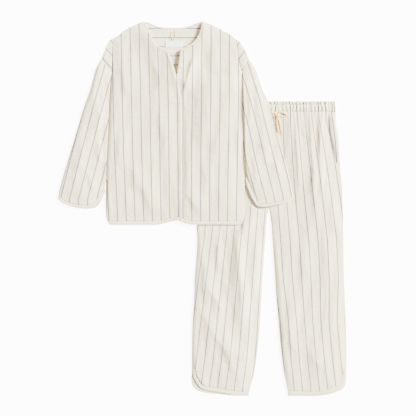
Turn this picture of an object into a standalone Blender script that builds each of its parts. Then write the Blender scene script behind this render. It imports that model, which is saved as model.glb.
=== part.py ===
# Pyjama set laid out flat: a striped collarless top that partly covers drawstring trousers.
# Frame: metres, x to the right, y towards the shoulders, z up from the surface it lies on.
# Tables are in millimetres, in each garment's own drafting zero, and scaled once at the end.
import math

import bpy
import numpy as np

MM = 0.001
WALL = 1.2
SEAM = 0.3

# Where each garment's drafting zero lies in the shared frame.
TOP_ZERO = np.array([-93.8, -55.2])
TROUSERS_ZERO = np.array([230.5, -645.8])

# The top lies on the trousers: how high its underside is carried and how softly it comes down.
TROUSERS_STACK = 4.5
GATHER_STACK = 3.1
CARRY_MARGIN = 34.0
CARRY_RAMP = 64.0

# Hem, cuff and neck bands.
HEM_BAND = 12.0
CUFF_BAND = 9.0
NECK_BAND = 6.0
LEG_BAND = 13.0

# Waist gathers: fine ones at the band, broader ones that run down the leg.
WAVE_LENGTH = 12.2
WAVE_HEIGHT = 2.2
WAVE_RUN = 45.0
PLEAT_LENGTH = 36.0
PLEAT_HEIGHT = 1.6
PLEAT_RUN = 170.0

# Edges of the top's pieces. Each row is (x, y).
BODY_SIDE_LEFT = [(-228, 4), (-237, 30), (-239, 60), (-239, 120), (-237, 189), (-234, 275), (-230, 344),
                  (-227, 413), (-223, 472), (-219, 527)]
ARMHOLE_LEFT = [(-219, 527), (-217.5, 553), (-216.3, 579), (-215.4, 612), (-215, 641)]
BODY_SIDE_RIGHT = [(230, 4), (237, 30), (238, 60), (239, 120), (238, 189), (236, 275), (234, 344),
                   (232, 413), (231, 465), (229, 529)]
ARMHOLE_RIGHT = [(229, 529), (222.5, 552), (217.5, 575), (214, 605), (212.5, 638)]
SHOULDER_LEFT = [(-215, 641), (-190, 658), (-172, 672), (-145, 686), (-121, 697), (-105, 701)]
SHOULDER_RIGHT = [(212.5, 638), (188, 658), (162, 672), (138, 685), (107, 698), (94, 702)]
NECK_FRONT_LEFT = [(-105, 701), (-93, 676), (-81, 648), (-71, 625), (-55, 613), (-27, 601)]
NECK_FRONT_RIGHT = [(94, 702), (88, 670), (81, 652), (72, 639), (59, 625), (43, 615), (19, 603)]
NECK_BACK = [(-105, 701), (-90, 698), (-69, 688), (-52, 683), (-12, 680), (28, 681), (52, 687), (76, 697),
             (94, 702)]
EDGE_OVER = [(25, 8), (25, 258), (23, 413), (15, 460), (5, 510), (-3, 540), (-14, 571), (-27, 601)]
EDGE_UNDER = [(0, 14), (0, 258), (0, 458), (5, 510), (9, 534), (13, 562), (19, 603)]
HEM_LEFT = [(-228, 4), (-222, 0), (-138, 0), (-66, 0), (-51, 2), (-21, 9), (9, 15), (25, 8)]
HEM_RIGHT = [(0, 14), (9, 15), (27, 8), (52, 1), (72, 0), (155, 0), (221, 0), (230, 4)]
HEM_BACK = [(-228, 4), (-222, 0), (-138, 0), (-66, 1), (-51, 3.5), (-21, 10.5), (8, 17), (27, 10.5),
            (52, 3), (72, 1), (155, 0), (221, 0), (230, 4)]
YOKE_SEAM = [(-219, 527), (-110, 527.5), (0, 528), (110, 528.5), (229, 529)]

CAP_SEAM_LEFT = [(-220.0, 527), (-236, 550.5), (-252, 574)]
CAP_FOLD_LEFT = [(-252, 574), (-243, 596), (-233, 620), (-219.5, 641)]
CAP_SEAM_RIGHT = [(230.0, 529), (242, 550), (254, 571)]
CAP_FOLD_RIGHT = [(254, 571), (246, 592), (232, 617), (217, 638)]
SLEEVE_FOLD_LEFT = [(-252, 574), (-273, 534), (-292, 465), (-314, 403), (-337, 327), (-358, 258),
                    (-379, 189), (-398, 120), (-403, 89)]
SLEEVE_INNER_LEFT = [(-220, 527), (-224.2, 472), (-228.2, 413), (-231.2, 344), (-235.2, 275), (-238.2, 189),
                     (-240.4, 120)]
CUFF_LEFT = [(-240.4, 120), (-255, 98), (-266, 80), (-278, 66), (-293, 58), (-326, 58), (-360, 65),
             (-386, 75), (-403, 89)]
CUFF_LEFT_UNDER = [(-240.4, 116), (-250, 92), (-259, 74), (-272, 60), (-290, 56), (-326, 57), (-360, 64.5),
                   (-386, 75), (-403, 89)]
SLEEVE_FOLD_RIGHT = [(254, 571), (278, 534), (301, 465), (323, 416), (345, 327), (366, 258), (384, 189),
                     (401, 120), (405, 89)]
SLEEVE_INNER_RIGHT = [(230, 529), (232.2, 465), (233.2, 413), (235.2, 344), (237.2, 275), (239.6, 215),
                      (242, 168)]
CUFF_RIGHT = [(242, 168), (245, 144), (254, 117), (266, 89), (282, 66), (298, 61), (326, 64), (355, 69),
              (379, 75), (405, 89)]
CUFF_RIGHT_UNDER = [(240.6, 162), (242.5, 136), (249, 108), (260, 82), (277, 61), (296, 57), (326, 62),
                    (355, 68), (379, 75), (405, 89)]

# Edges of the trousers' pieces. Each row is (x, y).
WAIST_SEAM = 980.0
WAIST_LEFT = [(-191, 980), (-189, 998), (-186, 1017)]
WAIST_RIGHT = [(230, 980), (229, 998), (226, 1017)]
LEG_SIDE_RIGHT = [(267, 83), (267, 176), (264, 262), (262, 331), (259, 400), (257, 504), (256, 590),
                  (254, 676), (248, 762), (243, 849), (235, 928), (230, 980)]
LEG_SIDE_LEFT = [(-266, 93), (-266, 159), (-264, 245), (-259, 331), (-256, 417), (-249, 504), (-248, 556),
                 (-250.5, 588), (-246, 630), (-238, 676), (-224, 797), (-209, 900), (-191, 980)]
INSEAM_LEFT = [(-69, 2), (-61, 34), (-49, 90), (-39, 159), (-32, 228), (-26, 331), (-20, 435), (-12, 545),
               (-7, 614), (-0.2, 650)]
INSEAM_RIGHT = [(65, 3), (59, 34), (50, 90), (41, 159), (33, 245), (26, 331), (21, 400), (14, 504), (7, 600),
                (0.2, 650)]
RISE = [(0, 650), (6, 720), (14, 850), (20, 980)]
LEG_HEM_LEFT = [(-266, 93), (-261, 66), (-249, 43), (-235, 28), (-210, 19), (-178, 14), (-122, 4), (-69, 2)]
LEG_HEM_LEFT_BACK = [(-266, 93), (-267, 48), (-258, 28), (-239, 16), (-210, 10), (-178, 7), (-122, 2),
                     (-69, 1)]
LEG_HEM_RIGHT = [(267, 83), (265, 62), (260, 45), (250, 34), (231, 21), (205, 10), (174, 3), (107, 3),
                 (65, 3)]
LEG_HEM_RIGHT_BACK = [(267, 83), (267, 56), (263, 38), (254, 26), (235, 15), (207, 6), (174, 1), (107, 1),
                      (65, 1)]
POCKET_RIGHT = [(233, 797), (225, 826), (215, 869), (207, 901), (204, 937), (203, 980)]
POCKET_LEFT = [(-226, 797), (-212, 830), (-196, 869), (-184, 901), (-174, 937), (-168, 980)]
POCKET_TUCK = 12.0

# Largest folds: a ridge from one point to another, its half width and height.
# (x1, y1, x2, y2, half_width, height)
TOP_FOLDS = [
    (56, 592, 24, 470, 9, 3.6),
    (-78, 500, -64, 250, 22, 2.6),
    (-44, 360, -50, 120, 16, 1.8),
    (96, 470, 90, 180, 24, 2.2),
    (150, 560, 172, 300, 20, 2.0),
    (-150, 600, -176, 400, 18, 2.0),
    (34, 420, 38, 60, 8, 1.2),
]
SLEEVE_FOLDS = [
    (-248, 470, -262, 330, 9, 2.6),
    (-276, 420, -300, 250, 14, 2.2),
    (-330, 250, -352, 130, 16, 1.6),
    (252, 460, 262, 330, 9, 2.4),
    (290, 400, 312, 240, 14, 2.0),
    (330, 230, 352, 130, 16, 1.6),
]
TROUSER_FOLDS = [
    (-112, 560, -118, 330, 15, 4.6),
    (-92, 540, -96, 360, 9, 2.2),
    (-218, 385, -120, 120, 15, 3.4),
    (-180, 430, -90, 250, 12, 2.2),
    (-236, 250, -170, 90, 12, 2.0),
    (188, 620, 196, 320, 12, 3.2),
    (60, 560, 84, 330, 16, 1.8),
    (120, 640, 128, 420, 18, 1.8),
    (138, 60, 214, 84, 9, 2.4),
    (224, 560, 232, 300, 10, 2.0),
]

# Drawstring: half width, half thickness and the course of each run. Each row is (x, y, z above the panel).
CORD_HALF_WIDTH = 3.4
CORD_HALF_THICKNESS = 1.2
CORD_RUNS = {
    "loop_left": [(28, 966, 2.4), (21, 974, 4.6), (14.6, 974.5, 4.2), (13.4, 969, 2.8), (18, 964, 2.0),
                  (27, 966, 2.0)],
    "loop_right": [(29, 966, 2.4), (34, 978, 4.8), (43, 984, 5.4), (54, 978, 4.4), (60, 969, 2.8),
                   (54, 963.5, 2.0), (42, 962.5, 1.8), (29, 965, 2.0)],
    "tail_left": [(27, 964, 2.4), (26, 950, 2.0), (28, 930, 1.4), (32, 908, 1.2)],
    "tail_right": [(30, 964, 2.6), (35, 948, 3.0), (39, 930, 2.0), (43, 904, 1.2)],
    "lead_left": [(22, 979, 1.2), (24, 972, 2.0), (27, 967, 2.2)],
    "lead_right": [(35, 979, 1.2), (33, 972, 2.0), (30, 967, 2.2)],
}
KNOT_CENTRE = (28.5, 966, 3.0)
KNOT_SIZE = (6.2, 4.8, 3.2)

COLOURS = {
    "cloth": (0.80, 0.79, 0.73),
    "band": (0.79, 0.76, 0.69),
    "label": (0.93, 0.92, 0.90),
    "cord": (0.86, 0.77, 0.64),
}


def clear_scene():
    """Empty the file."""
    for item in list(bpy.data.objects):
        bpy.data.objects.remove(item, do_unlink=True)


# Curves and cut outlines.
def smooth_line(rows, count):
    """Count + 1 points at equal distances along a soft curve through a table's rows."""
    rows = np.array(rows, dtype=float)
    padded = np.vstack([2 * rows[0] - rows[1], rows, 2 * rows[-1] - rows[-2]])
    steps = np.linspace(0, 1, 9)[:-1][:, None]
    course = []
    for i in range(1, len(padded) - 2):
        before, start, end, after = padded[i - 1], padded[i], padded[i + 1], padded[i + 2]
        span = np.linalg.norm(end - start)
        slope_start = (end - before) / max(np.linalg.norm(end - before), 1e-6) * span
        slope_end = (after - start) / max(np.linalg.norm(after - start), 1e-6) * span
        course.append((2 * steps ** 3 - 3 * steps ** 2 + 1) * start + (steps ** 3 - 2 * steps ** 2 + steps)
                      * slope_start + (3 * steps ** 2 - 2 * steps ** 3) * end + (steps ** 3 - steps ** 2)
                      * slope_end)
    course = np.vstack(course + [rows[-1][None, :]])
    lengths = np.concatenate([[0], np.cumsum(np.linalg.norm(np.diff(course, axis=0), axis=1))])
    wanted = np.linspace(0, lengths[-1], count + 1)
    return np.stack([np.interp(wanted, lengths, course[:, k]) for k in range(rows.shape[1])], axis=1)


def joined(*parts):
    """Several runs of points as one, without the doubled corners."""
    return np.vstack([parts[0]] + [part[1:] for part in parts[1:]])


def inset(line, distance):
    """A line moved to its left by a distance."""
    line = np.asarray(line, dtype=float)
    tangent = np.gradient(line[:, :2], axis=0)
    tangent /= np.linalg.norm(tangent, axis=1)[:, None]
    moved = line.copy()
    moved[:, 0] -= tangent[:, 1] * distance
    moved[:, 1] += tangent[:, 0] * distance
    return moved


def above(rows, height):
    """The rows of an edge table that lie above a height."""
    return [row for row in rows if row[1] > height]


def patch(bottom, top, left, right):
    """Points of a four-sided piece of cloth, worked out from its edges, with the shares across and along."""
    across = np.linspace(0, 1, len(bottom))[None, :, None]
    along = np.linspace(0, 1, len(left))[:, None, None]
    points = (1 - along) * bottom[None] + along * top[None]
    points = points + (1 - across) * left[:, None] + across * right[:, None]
    points = points - (1 - across) * (1 - along) * bottom[0] - across * (1 - along) * bottom[-1]
    points = points - (1 - across) * along * top[0] - across * along * top[-1]
    return points, across[0, :, 0], along[:, 0, 0]


# Heights of the layers.
def ease(value):
    """Soft step from 0 to 1."""
    value = np.clip(value, 0, 1)
    return value * value * (3 - 2 * value)


def distance_outside(points, outline):
    """Distance of each point outside a closed outline, zero inside it."""
    flat = points.reshape(-1, 2)
    start = np.asarray(outline, dtype=float)
    end = np.roll(start, -1, axis=0)
    run = end - start
    offset = flat[:, None, :] - start[None]
    share = np.clip((offset * run).sum(2) / (run * run).sum(1), 0, 1)
    nearest = np.linalg.norm(offset - share[..., None] * run, axis=2).min(1)
    crosses = (start[None, :, 1] > flat[:, None, 1]) != (end[None, :, 1] > flat[:, None, 1])
    rise = np.where(np.abs(run[:, 1]) < 1e-9, 1e-9, run[:, 1])
    at = start[:, 0] + (flat[:, None, 1] - start[:, 1]) * run[:, 0] / rise
    inside = (crosses & (flat[:, None, 0] < at)).sum(1) % 2 == 1
    return np.where(inside, 0, nearest).reshape(points.shape[:-1])


TROUSER_OUTLINE = np.array(
    [(226, 1017), (230, 980), (243, 849), (254, 676), (257, 504), (262, 331), (267, 83), (254, 30), (65, 3),
     (0, 650), (-69, 2), (-258, 30), (-266, 159), (-256, 417), (-246, 590), (-224, 797), (-191, 980),
     (-186, 1017)], dtype=float) + TROUSERS_ZERO
GATHER_OUTLINE = np.array([(226, 1017), (230, 930), (-191, 930), (-186, 1017)], dtype=float) + TROUSERS_ZERO


def carried(points):
    """Height at which the top's lowest layer lies: on the surface, or on the trousers."""
    body = 1 - ease((distance_outside(points, TROUSER_OUTLINE) - CARRY_MARGIN) / CARRY_RAMP)
    waist = 1 - ease((distance_outside(points, GATHER_OUTLINE) - CARRY_MARGIN) / CARRY_RAMP)
    return TROUSERS_STACK * body + GATHER_STACK * waist


def ridges(points, folds):
    """Height added by a table of folds."""
    total = np.zeros(points.shape[:-1])
    for x1, y1, x2, y2, half_width, height in folds:
        start = np.array([x1, y1], dtype=float)
        run = np.array([x2 - x1, y2 - y1], dtype=float)
        length = np.linalg.norm(run)
        along = ((points - start) @ run) / length ** 2
        side = ((points - start) @ np.array([-run[1], run[0]])) / length
        bend = side - half_width * 0.5 * np.sin(along * math.pi * 1.3)
        total += height * np.exp(-(bend / half_width) ** 2) * ease(along / 0.25) * ease((1 - along) / 0.25)
    return total


def gathers(points):
    """Height added by the gathers at the waist."""
    below = WAIST_SEAM - points[..., 1]
    fine = 1 - ease(below / WAVE_RUN)
    broad = 1 - ease(below / PLEAT_RUN)
    wave = 0.5 + 0.5 * np.cos(2 * math.pi * points[..., 0] / WAVE_LENGTH)
    pleat = 0.5 + 0.5 * np.cos(2 * math.pi * (points[..., 0] + 0.04 * below) / PLEAT_LENGTH)
    return WAVE_HEIGHT * fine * wave + PLEAT_HEIGHT * (1 - fine) * broad * pleat


def loft(share):
    """How far a panel has come away from its edge: 0 at the edge, 1 inside."""
    return ease(np.minimum(share, 1 - share) / 0.18)


# Solids.
def add_body(name, outer, inner, colour, roughness=0.9):
    """One closed body between two grids of points in millimetres of the shared frame."""
    rows, columns = outer.shape[:2]
    points = np.vstack([outer.reshape(-1, 3), inner.reshape(-1, 3)]) * MM
    second = rows * columns
    faces = []
    for i in range(rows - 1):
        for j in range(columns - 1):
            a, d = i * columns + j, (i + 1) * columns + j
            b, c = a + 1, d + 1
            faces.append((a, b, c, d))
            faces.append((second + d, second + c, second + b, second + a))
    for i in range(rows - 1):
        low, high = i * columns, (i + 1) * columns
        faces.append((low, high, second + high, second + low))
        low, high = low + columns - 1, high + columns - 1
        faces.append((high, low, second + low, second + high))
    for j in range(columns - 1):
        last = (rows - 1) * columns + j
        faces.append((j + 1, j, second + j, second + j + 1))
        faces.append((last, last + 1, second + last + 1, second + last))
    mesh = bpy.data.meshes.new(name)
    mesh.from_pydata(points.tolist(), [], faces)
    finish_object(name, mesh, colour, roughness)


def finish_object(name, mesh, colour, roughness):
    """Turn a mesh outwards, give it its plain material and put it in the scene."""
    mesh.update()
    if signed_volume(mesh) < 0:
        mesh.flip_normals()
    item = bpy.data.objects.new(name, mesh)
    bpy.context.scene.collection.objects.link(item)
    material = bpy.data.materials.new(name)
    material.use_nodes = True
    shader = material.node_tree.nodes["Principled BSDF"]
    shader.inputs["Base Color"].default_value = (*colour, 1)
    shader.inputs["Roughness"].default_value = roughness
    shader.inputs["Metallic"].default_value = 0
    mesh.materials.append(material)


def signed_volume(mesh):
    """Volume by its faces, negative where they look inwards."""
    total = 0.0
    for face in mesh.polygons:
        corners = [mesh.vertices[index].co for index in face.vertices]
        for k in range(1, len(corners) - 1):
            total += corners[0].dot(corners[k].cross(corners[k + 1])) / 6
    return total


def with_height(points, height):
    """Flat points and their heights as one grid."""
    return np.concatenate([points, height[..., None]], axis=2)


def panel(name, edges, zero, height, colour=COLOURS["cloth"]):
    """A flat-lying piece; height(points, across, along) gives its underside in drafting coordinates."""
    points, across, along = patch(*edges)
    level = height(points, across[None, :] + 0 * along[:, None], along[:, None] + 0 * across[None, :])
    placed = points + zero
    add_body(name, with_height(placed, level + WALL), with_height(placed, level), colour)


def strip(name, outer_line, inner_line, zero, height, colour=COLOURS["band"]):
    """A narrow band between two lines with the same number of points."""
    points = np.stack([outer_line, inner_line])
    share = np.linspace(0, 1, points.shape[1])[None, :] + np.zeros((2, 1))
    level = height(points, share, None)
    placed = points + zero
    add_body(name, with_height(placed, level + WALL), with_height(placed, level), colour)


def folded(name, lower, upper, zero, colour=COLOURS["cloth"], puff=0.0, folds=()):
    """A flattened sleeve, cap or cuff band of the top, folded at its last column."""
    columns = lower.shape[1]
    ground_low = carried(lower + zero)
    ground_up = carried(upper + zero)
    across = np.linspace(0, 1, columns)[None, :]
    rise = WALL + SEAM + 0.5 * np.minimum(1, (1 - across) / 0.2) + 0.5 * ease(across / 0.2)
    rise = rise - 0.5 * (across < 1e-9) + 0.4 * (across > 1 - 1e-9)
    top_level = ground_up + rise + puff * np.sin(across * math.pi) ** 2
    top_level = top_level + ridges(upper, folds) * ease(across / 0.15) * ease((1 - across) / 0.15)
    folded_body(name, lower, upper, ground_low, top_level, zero, colour)


def folded_body(name, lower, upper, ground_low, top_level, zero, colour):
    """A flattened tube: an under layer and an upper layer joined by a fold at their last column."""
    inward_low = lower.copy()
    inward_up = upper.copy()
    for grid, moved in ((lower, inward_low), (upper, inward_up)):
        step = grid[:, -2] - grid[:, -1]
        moved[:, -1] += step / np.linalg.norm(step, axis=1)[:, None] * WALL
    bulge = lower[:, -1] + (lower[:, -1] - inward_low[:, -1]) * 0.5
    middle = 0.5 * (ground_low[:, -1] + top_level[:, -1] + WALL)
    outer = np.concatenate([with_height(lower, ground_low), with_height(bulge[:, None], middle[:, None]),
                            with_height(upper, top_level + WALL)[:, ::-1]], axis=1)
    hollow = with_height(0.5 * (inward_low + inward_up)[:, -1:], middle[:, None])
    inner = np.concatenate([with_height(inward_low, ground_low + WALL), hollow,
                            with_height(inward_up, top_level)[:, ::-1]], axis=1)
    shift = np.array([zero[0], zero[1], 0])
    add_body(name, outer + shift, inner + shift, colour)


# The top.
def top_height(base, folds=(), lap=None, rising=None, fold_limit=None):
    """Height of a layer of the top that follows what it lies on."""
    def height(points, across, along):
        level = carried(points + TOP_ZERO) + base
        if rising is not None:
            level = level + rising(across, along)
        if lap is not None:
            level = level + lap(points)
        if folds:
            allowed = fold_limit(points) if fold_limit else 1.0
            level = level + ridges(points, folds) * loft(along) * allowed
        return level
    return height


def beyond_lap(points):
    """Share of a fold that the under front may have: none where the left front lies over it."""
    x, y = points[..., 0], points[..., 1]
    edge = 27 - 60 * ease((y - 400) / 60)
    return ease((x - 14) / 14) * ease((x - edge) / 14)


def lap_rise(points):
    """The left front climbs onto the right front near the closing."""
    return (WALL + SEAM + 0.4) * ease((points[..., 0] + 52) / 30)


def build_top():
    """All pieces of the top."""
    columns = 12
    side_rows, armhole_rows = 22, 6
    rows = side_rows + armhole_rows
    shoulder_columns = 6
    front = WALL + SEAM
    side_left = smooth_line([(-233.5, 13.5)] + above(BODY_SIDE_LEFT, 20), side_rows)
    armhole_left = smooth_line(ARMHOLE_LEFT, armhole_rows)
    side_right = smooth_line([(233.5, 13.5)] + above(BODY_SIDE_RIGHT, 20), side_rows)
    armhole_right = smooth_line(ARMHOLE_RIGHT, armhole_rows)

    # Left front, which laps over.
    hem = smooth_line(HEM_LEFT, columns)
    seam = inset(hem, HEM_BAND + SEAM)
    seam[0] = side_left[0]
    seam[-1] = (25, 21.5)
    neck = smooth_line(NECK_FRONT_LEFT, columns - shoulder_columns)
    neck_seam = inset(neck, -(NECK_BAND + SEAM))
    neck_seam[-1] = (-25.2, 594.6)
    shoulder_rows = [row for row in SHOULDER_LEFT if row[0] < -113]
    shoulder = smooth_line(shoulder_rows + [(-112.5, 699.3)], shoulder_columns)
    neck_seam[0] = shoulder[-1]
    opening = smooth_line([(25, 21.5)] + above(EDGE_OVER[:-1], 100) + [(-25.2, 594.6)], rows)
    left_edge = joined(side_left, armhole_left)
    panel("top_front_left", (seam, joined(shoulder, neck_seam), left_edge, opening), TOP_ZERO,
          top_height(front, TOP_FOLDS, lap_rise, side_lift))
    strip("hem_band_left", hem, inset(seam, -SEAM), TOP_ZERO,
          top_height(front, lap=lap_rise, rising=side_lift))
    strip("neck_band_left", neck, inset(neck_seam, SEAM), TOP_ZERO, top_height(front, lap=lap_rise))

    # Right front, which lies under.
    hem = smooth_line(HEM_RIGHT, columns)
    seam = inset(hem, HEM_BAND + SEAM)
    seam[0] = (0, 27.0)
    seam[-1] = side_right[0]
    neck = smooth_line(NECK_FRONT_RIGHT, columns - shoulder_columns)
    neck_seam = inset(neck, NECK_BAND + SEAM)
    shoulder_rows = [row for row in SHOULDER_RIGHT if row[0] > 103]
    shoulder = smooth_line(shoulder_rows + [(101.3, 700.4)], shoulder_columns)
    neck_seam[0] = shoulder[-1]
    neck_seam[-1] = (18.0, 596.6)
    opening = smooth_line([(0, 27.0)] + above(EDGE_UNDER[:-1], 100) + [(18.0, 596.6)], rows)
    top_edge = joined(shoulder, neck_seam)[::-1]
    panel("top_front_right", (seam, top_edge, opening, joined(side_right, armhole_right)), TOP_ZERO,
          top_height(front, TOP_FOLDS, rising=under_lift, fold_limit=beyond_lap))
    strip("hem_band_right", hem, inset(seam, -SEAM), TOP_ZERO, top_height(front, rising=under_lift))
    strip("neck_band_right", neck, inset(neck_seam, -SEAM), TOP_ZERO, top_height(front))

    # Back, yoke and their bands.
    hem = smooth_line(HEM_BACK, columns)
    seam = inset(hem, HEM_BAND + SEAM)
    seam[0] = side_left[0]
    seam[-1] = side_right[0]
    yoke_seam = smooth_line(YOKE_SEAM, columns)
    half_seam = np.array([0, SEAM / 2])
    side_left[-1] -= half_seam
    side_right[-1] -= half_seam
    panel("top_back", (seam, yoke_seam - half_seam, side_left, side_right), TOP_ZERO, top_height(0.0))
    strip("hem_band_back", hem, inset(seam, -SEAM), TOP_ZERO, top_height(0.0))
    neck = smooth_line(NECK_BACK, 6)
    neck_seam = inset(neck, -(NECK_BAND + SEAM))
    shoulder_left = smooth_line([row for row in SHOULDER_LEFT if row[0] < -118] + [(-116, 698.2)], 3)
    shoulder_right = smooth_line([row for row in SHOULDER_RIGHT if row[0] > 108] + [(104, 699.4)], 3)
    neck_seam[0] = shoulder_left[-1]
    neck_seam[-1] = shoulder_right[-1]
    top_edge = joined(shoulder_left, neck_seam, shoulder_right[::-1])
    armhole_left[0] += half_seam
    armhole_right[0] += half_seam
    panel("top_back_yoke", (yoke_seam + half_seam, top_edge, armhole_left, armhole_right), TOP_ZERO,
          top_height(0.0))
    strip("neck_band_back", neck, inset(neck_seam, SEAM), TOP_ZERO, top_height(0.0))
    build_caps_and_sleeves(armhole_left, armhole_right)
    build_neck_trim()


def side_lift(across, along):
    """The left front comes down onto the back only at its side seam."""
    return 0.7 * ease(across / 0.15)


def under_lift(across, along):
    """The right front comes down onto the back only at its side seam."""
    return 0.6 * ease((1 - across) / 0.15)


def build_caps_and_sleeves(armhole_left, armhole_right):
    """Both caps, both sleeves and their cuff bands."""
    sides = {
        "left": (-1, armhole_left, CAP_SEAM_LEFT, CAP_FOLD_LEFT, SLEEVE_INNER_LEFT, SLEEVE_FOLD_LEFT,
                 CUFF_LEFT, CUFF_LEFT_UNDER),
        "right": (1, armhole_right, CAP_SEAM_RIGHT, CAP_FOLD_RIGHT, SLEEVE_INNER_RIGHT, SLEEVE_FOLD_RIGHT,
                  CUFF_RIGHT, CUFF_RIGHT_UNDER),
    }
    for word, tables in sides.items():
        sign, armhole, seam_rows, fold_rows, inner_rows, outer_rows, cuff_rows, under_rows = tables
        across = 3
        away = np.array([sign * SEAM, 0.0])
        seam = smooth_line(seam_rows, across)
        lift = np.array([-sign * 0.25, 0.22])
        inner = armhole + away
        start = seam + lift
        start[0] = inner[0] + np.array([sign * 0.5, 0.4])
        inner[0] = start[0]
        fold = smooth_line(fold_rows, len(armhole) - 1)
        fold[0] = start[-1]
        fold[-1] = inner[-1] + np.array([sign * 3.2, -0.8])
        end = np.linspace(inner[-1], fold[-1], across + 1)
        points, _, _ = patch(start, end, inner, fold)
        folded(f"sleeve_cap_{word}", points, points, TOP_ZERO)

        # Sleeve: first column on the inner edge, last one on the outer fold.
        across, rows = 7, 20
        seam = smooth_line(seam_rows, across)
        outer = smooth_line(outer_rows, rows)
        grids = []
        bands = []
        for cuff_table in (under_rows, cuff_rows):
            cuff = smooth_line(cuff_table, across)
            turn = inset(cuff, sign * (CUFF_BAND + SEAM))
            turn[0] = cuff[0] + np.array([sign * 1.6, CUFF_BAND + SEAM])
            turn[-1] = outer_point(outer, CUFF_BAND + SEAM)
            band_edge = inset(turn, -sign * SEAM)
            inner_edge = smooth_line(above(inner_rows, turn[0][1] + 6) + [tuple(turn[0])], rows)[::-1]
            outer_edge = smooth_line([tuple(turn[-1])] + above(outer_rows[::-1], 110), rows)
            points, _, _ = patch(turn, seam, inner_edge, outer_edge)
            grids.append(points)
            bands.append(np.stack([cuff, band_edge]))
        folded(f"sleeve_{word}", grids[0], grids[1], TOP_ZERO, puff=0.8, folds=SLEEVE_FOLDS)
        folded(f"cuff_band_{word}", bands[0], bands[1], TOP_ZERO, COLOURS["band"], puff=0.6)


def outer_point(line, distance):
    """The point of a line that lies a distance before its end."""
    lengths = np.concatenate([[0], np.cumsum(np.linalg.norm(np.diff(line, axis=0), axis=1))])
    wanted = lengths[-1] - distance
    return np.array([np.interp(wanted, lengths, line[:, 0]), np.interp(wanted, lengths, line[:, 1])])


def box_strip(name, left, right, bottom, top, level, thickness, colour, rows=3):
    """A small flat piece with straight edges."""
    xs = np.linspace(left, right, 4)
    ys = np.linspace(bottom, top, rows)
    points = np.stack(np.meshgrid(xs, ys), axis=2) + TOP_ZERO
    low = np.full(points.shape[:2], float(level))
    add_body(name, with_height(points, low + thickness), with_height(points, low), colour)


def build_neck_trim():
    """Hanger loop and blank label inside the back neck."""
    box_strip("neck_label", -33, 27, 611, 634, WALL + SEAM, 0.8, COLOURS["label"])
    loop = smooth_line([(-11, 671, 1.6), (-11.5, 650, 2.0), (-10, 642, 2.2), (-5.5, 637.5, 2.2),
                        (-1, 642, 2.2), (0.5, 650, 2.0), (0, 671, 1.6)], 12)
    tangent = np.gradient(loop[:, :2], axis=0)
    tangent /= np.linalg.norm(tangent, axis=1)[:, None]
    side = np.stack([-tangent[:, 1], tangent[:, 0]], axis=1) * 1.1
    zero = np.array([TOP_ZERO[0], TOP_ZERO[1], 0])
    rows = []
    for share in (-1, 1):
        moved = loop.copy()
        moved[:, :2] += side * share
        rows.append(moved + zero)
    under = np.stack(rows)
    upper = under.copy()
    upper[..., 2] += 1.0
    add_body("hanger_loop", upper, under, COLOURS["band"])


# The trousers.
def trouser_front(points, across, along):
    """Underside of a front layer of the trousers."""
    return WALL + SEAM + 0.4 * loft(across) + gathers(points) + ridges(points, TROUSER_FOLDS) * loft(across)


def flat_layer(points, across, along):
    """A layer that lies on the surface."""
    return np.zeros(points.shape[:-1])


def mouth_lift(pocket):
    """The front stands up a little over the pocket facing near its mouth."""
    table = np.array(pocket, dtype=float)

    def height(points, across, along):
        mouth = np.interp(points[..., 1], table[:, 1], table[:, 0])
        near = 1 - ease(np.abs(points[..., 0] - mouth) / 30 - 0.7)
        tall = ease((points[..., 1] - 730) / 50)
        plain = trouser_front(points, across, along)
        return np.maximum(plain, 2 * (WALL + SEAM) * near * tall)
    return height


def build_legs():
    """Leg panels, pocket facings and leg hem bands."""
    rise = smooth_line(RISE, 5)
    sides = {
        "left": (-1, LEG_SIDE_LEFT, INSEAM_LEFT, LEG_HEM_LEFT, LEG_HEM_LEFT_BACK, POCKET_LEFT, -191.0),
        "right": (1, LEG_SIDE_RIGHT, INSEAM_RIGHT, LEG_HEM_RIGHT, LEG_HEM_RIGHT_BACK, POCKET_RIGHT, 230.0),
    }
    for word, (sign, side_rows, inseam_rows, hem_rows, back_rows, pocket, corner) in sides.items():
        middle = rise + np.array([sign * SEAM / 2, 0])
        inseam = smooth_line(above(inseam_rows, 30), 9)
        for layer, rows_table in (("front", hem_rows), ("back", back_rows)):
            is_front = layer == "front"
            columns = 32 if is_front else 12
            step_columns = 2
            hem = smooth_line(rows_table, columns - step_columns)
            seam = inset(hem, -sign * (LEG_BAND + SEAM))
            band_edge = inset(seam, sign * SEAM)
            corner_point = hem[0] + np.array([0, SEAM])
            seam[0, 1] += SEAM
            turned = joined(np.linspace(corner_point, seam[0], step_columns + 1), seam)
            inner = joined(smooth_line([seam[-1]] + list(inseam[1:]), 9), middle)
            inner[-1, 1] = WAIST_SEAM - SEAM
            if is_front:
                mouth = smooth_line(pocket, 5)
                below_mouth = [row for row in side_rows if 150 < row[1] < 790]
                side = joined(smooth_line([tuple(corner_point)] + below_mouth + [tuple(mouth[0])], 9), mouth)
            else:
                side = smooth_line([tuple(corner_point)] + above(side_rows, 150), 14)
            side[-1, 1] = WAIST_SEAM - SEAM
            top = np.linspace(side[-1], inner[-1], columns + 1)
            height = mouth_lift(pocket) if is_front else flat_layer
            panel(f"leg_{layer}_{word}", (turned, top, side, inner), TROUSERS_ZERO, height)
            level = band_level if is_front else flat_layer
            strip(f"leg_hem_{layer}_{word}", hem, band_edge, TROUSERS_ZERO, level)
        build_facing(word, sign, side_rows, pocket, corner)


def band_level(points, across, along):
    """Underside of the front leg bands and of the pocket facings."""
    return np.full(points.shape[:-1], WALL + SEAM)


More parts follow.
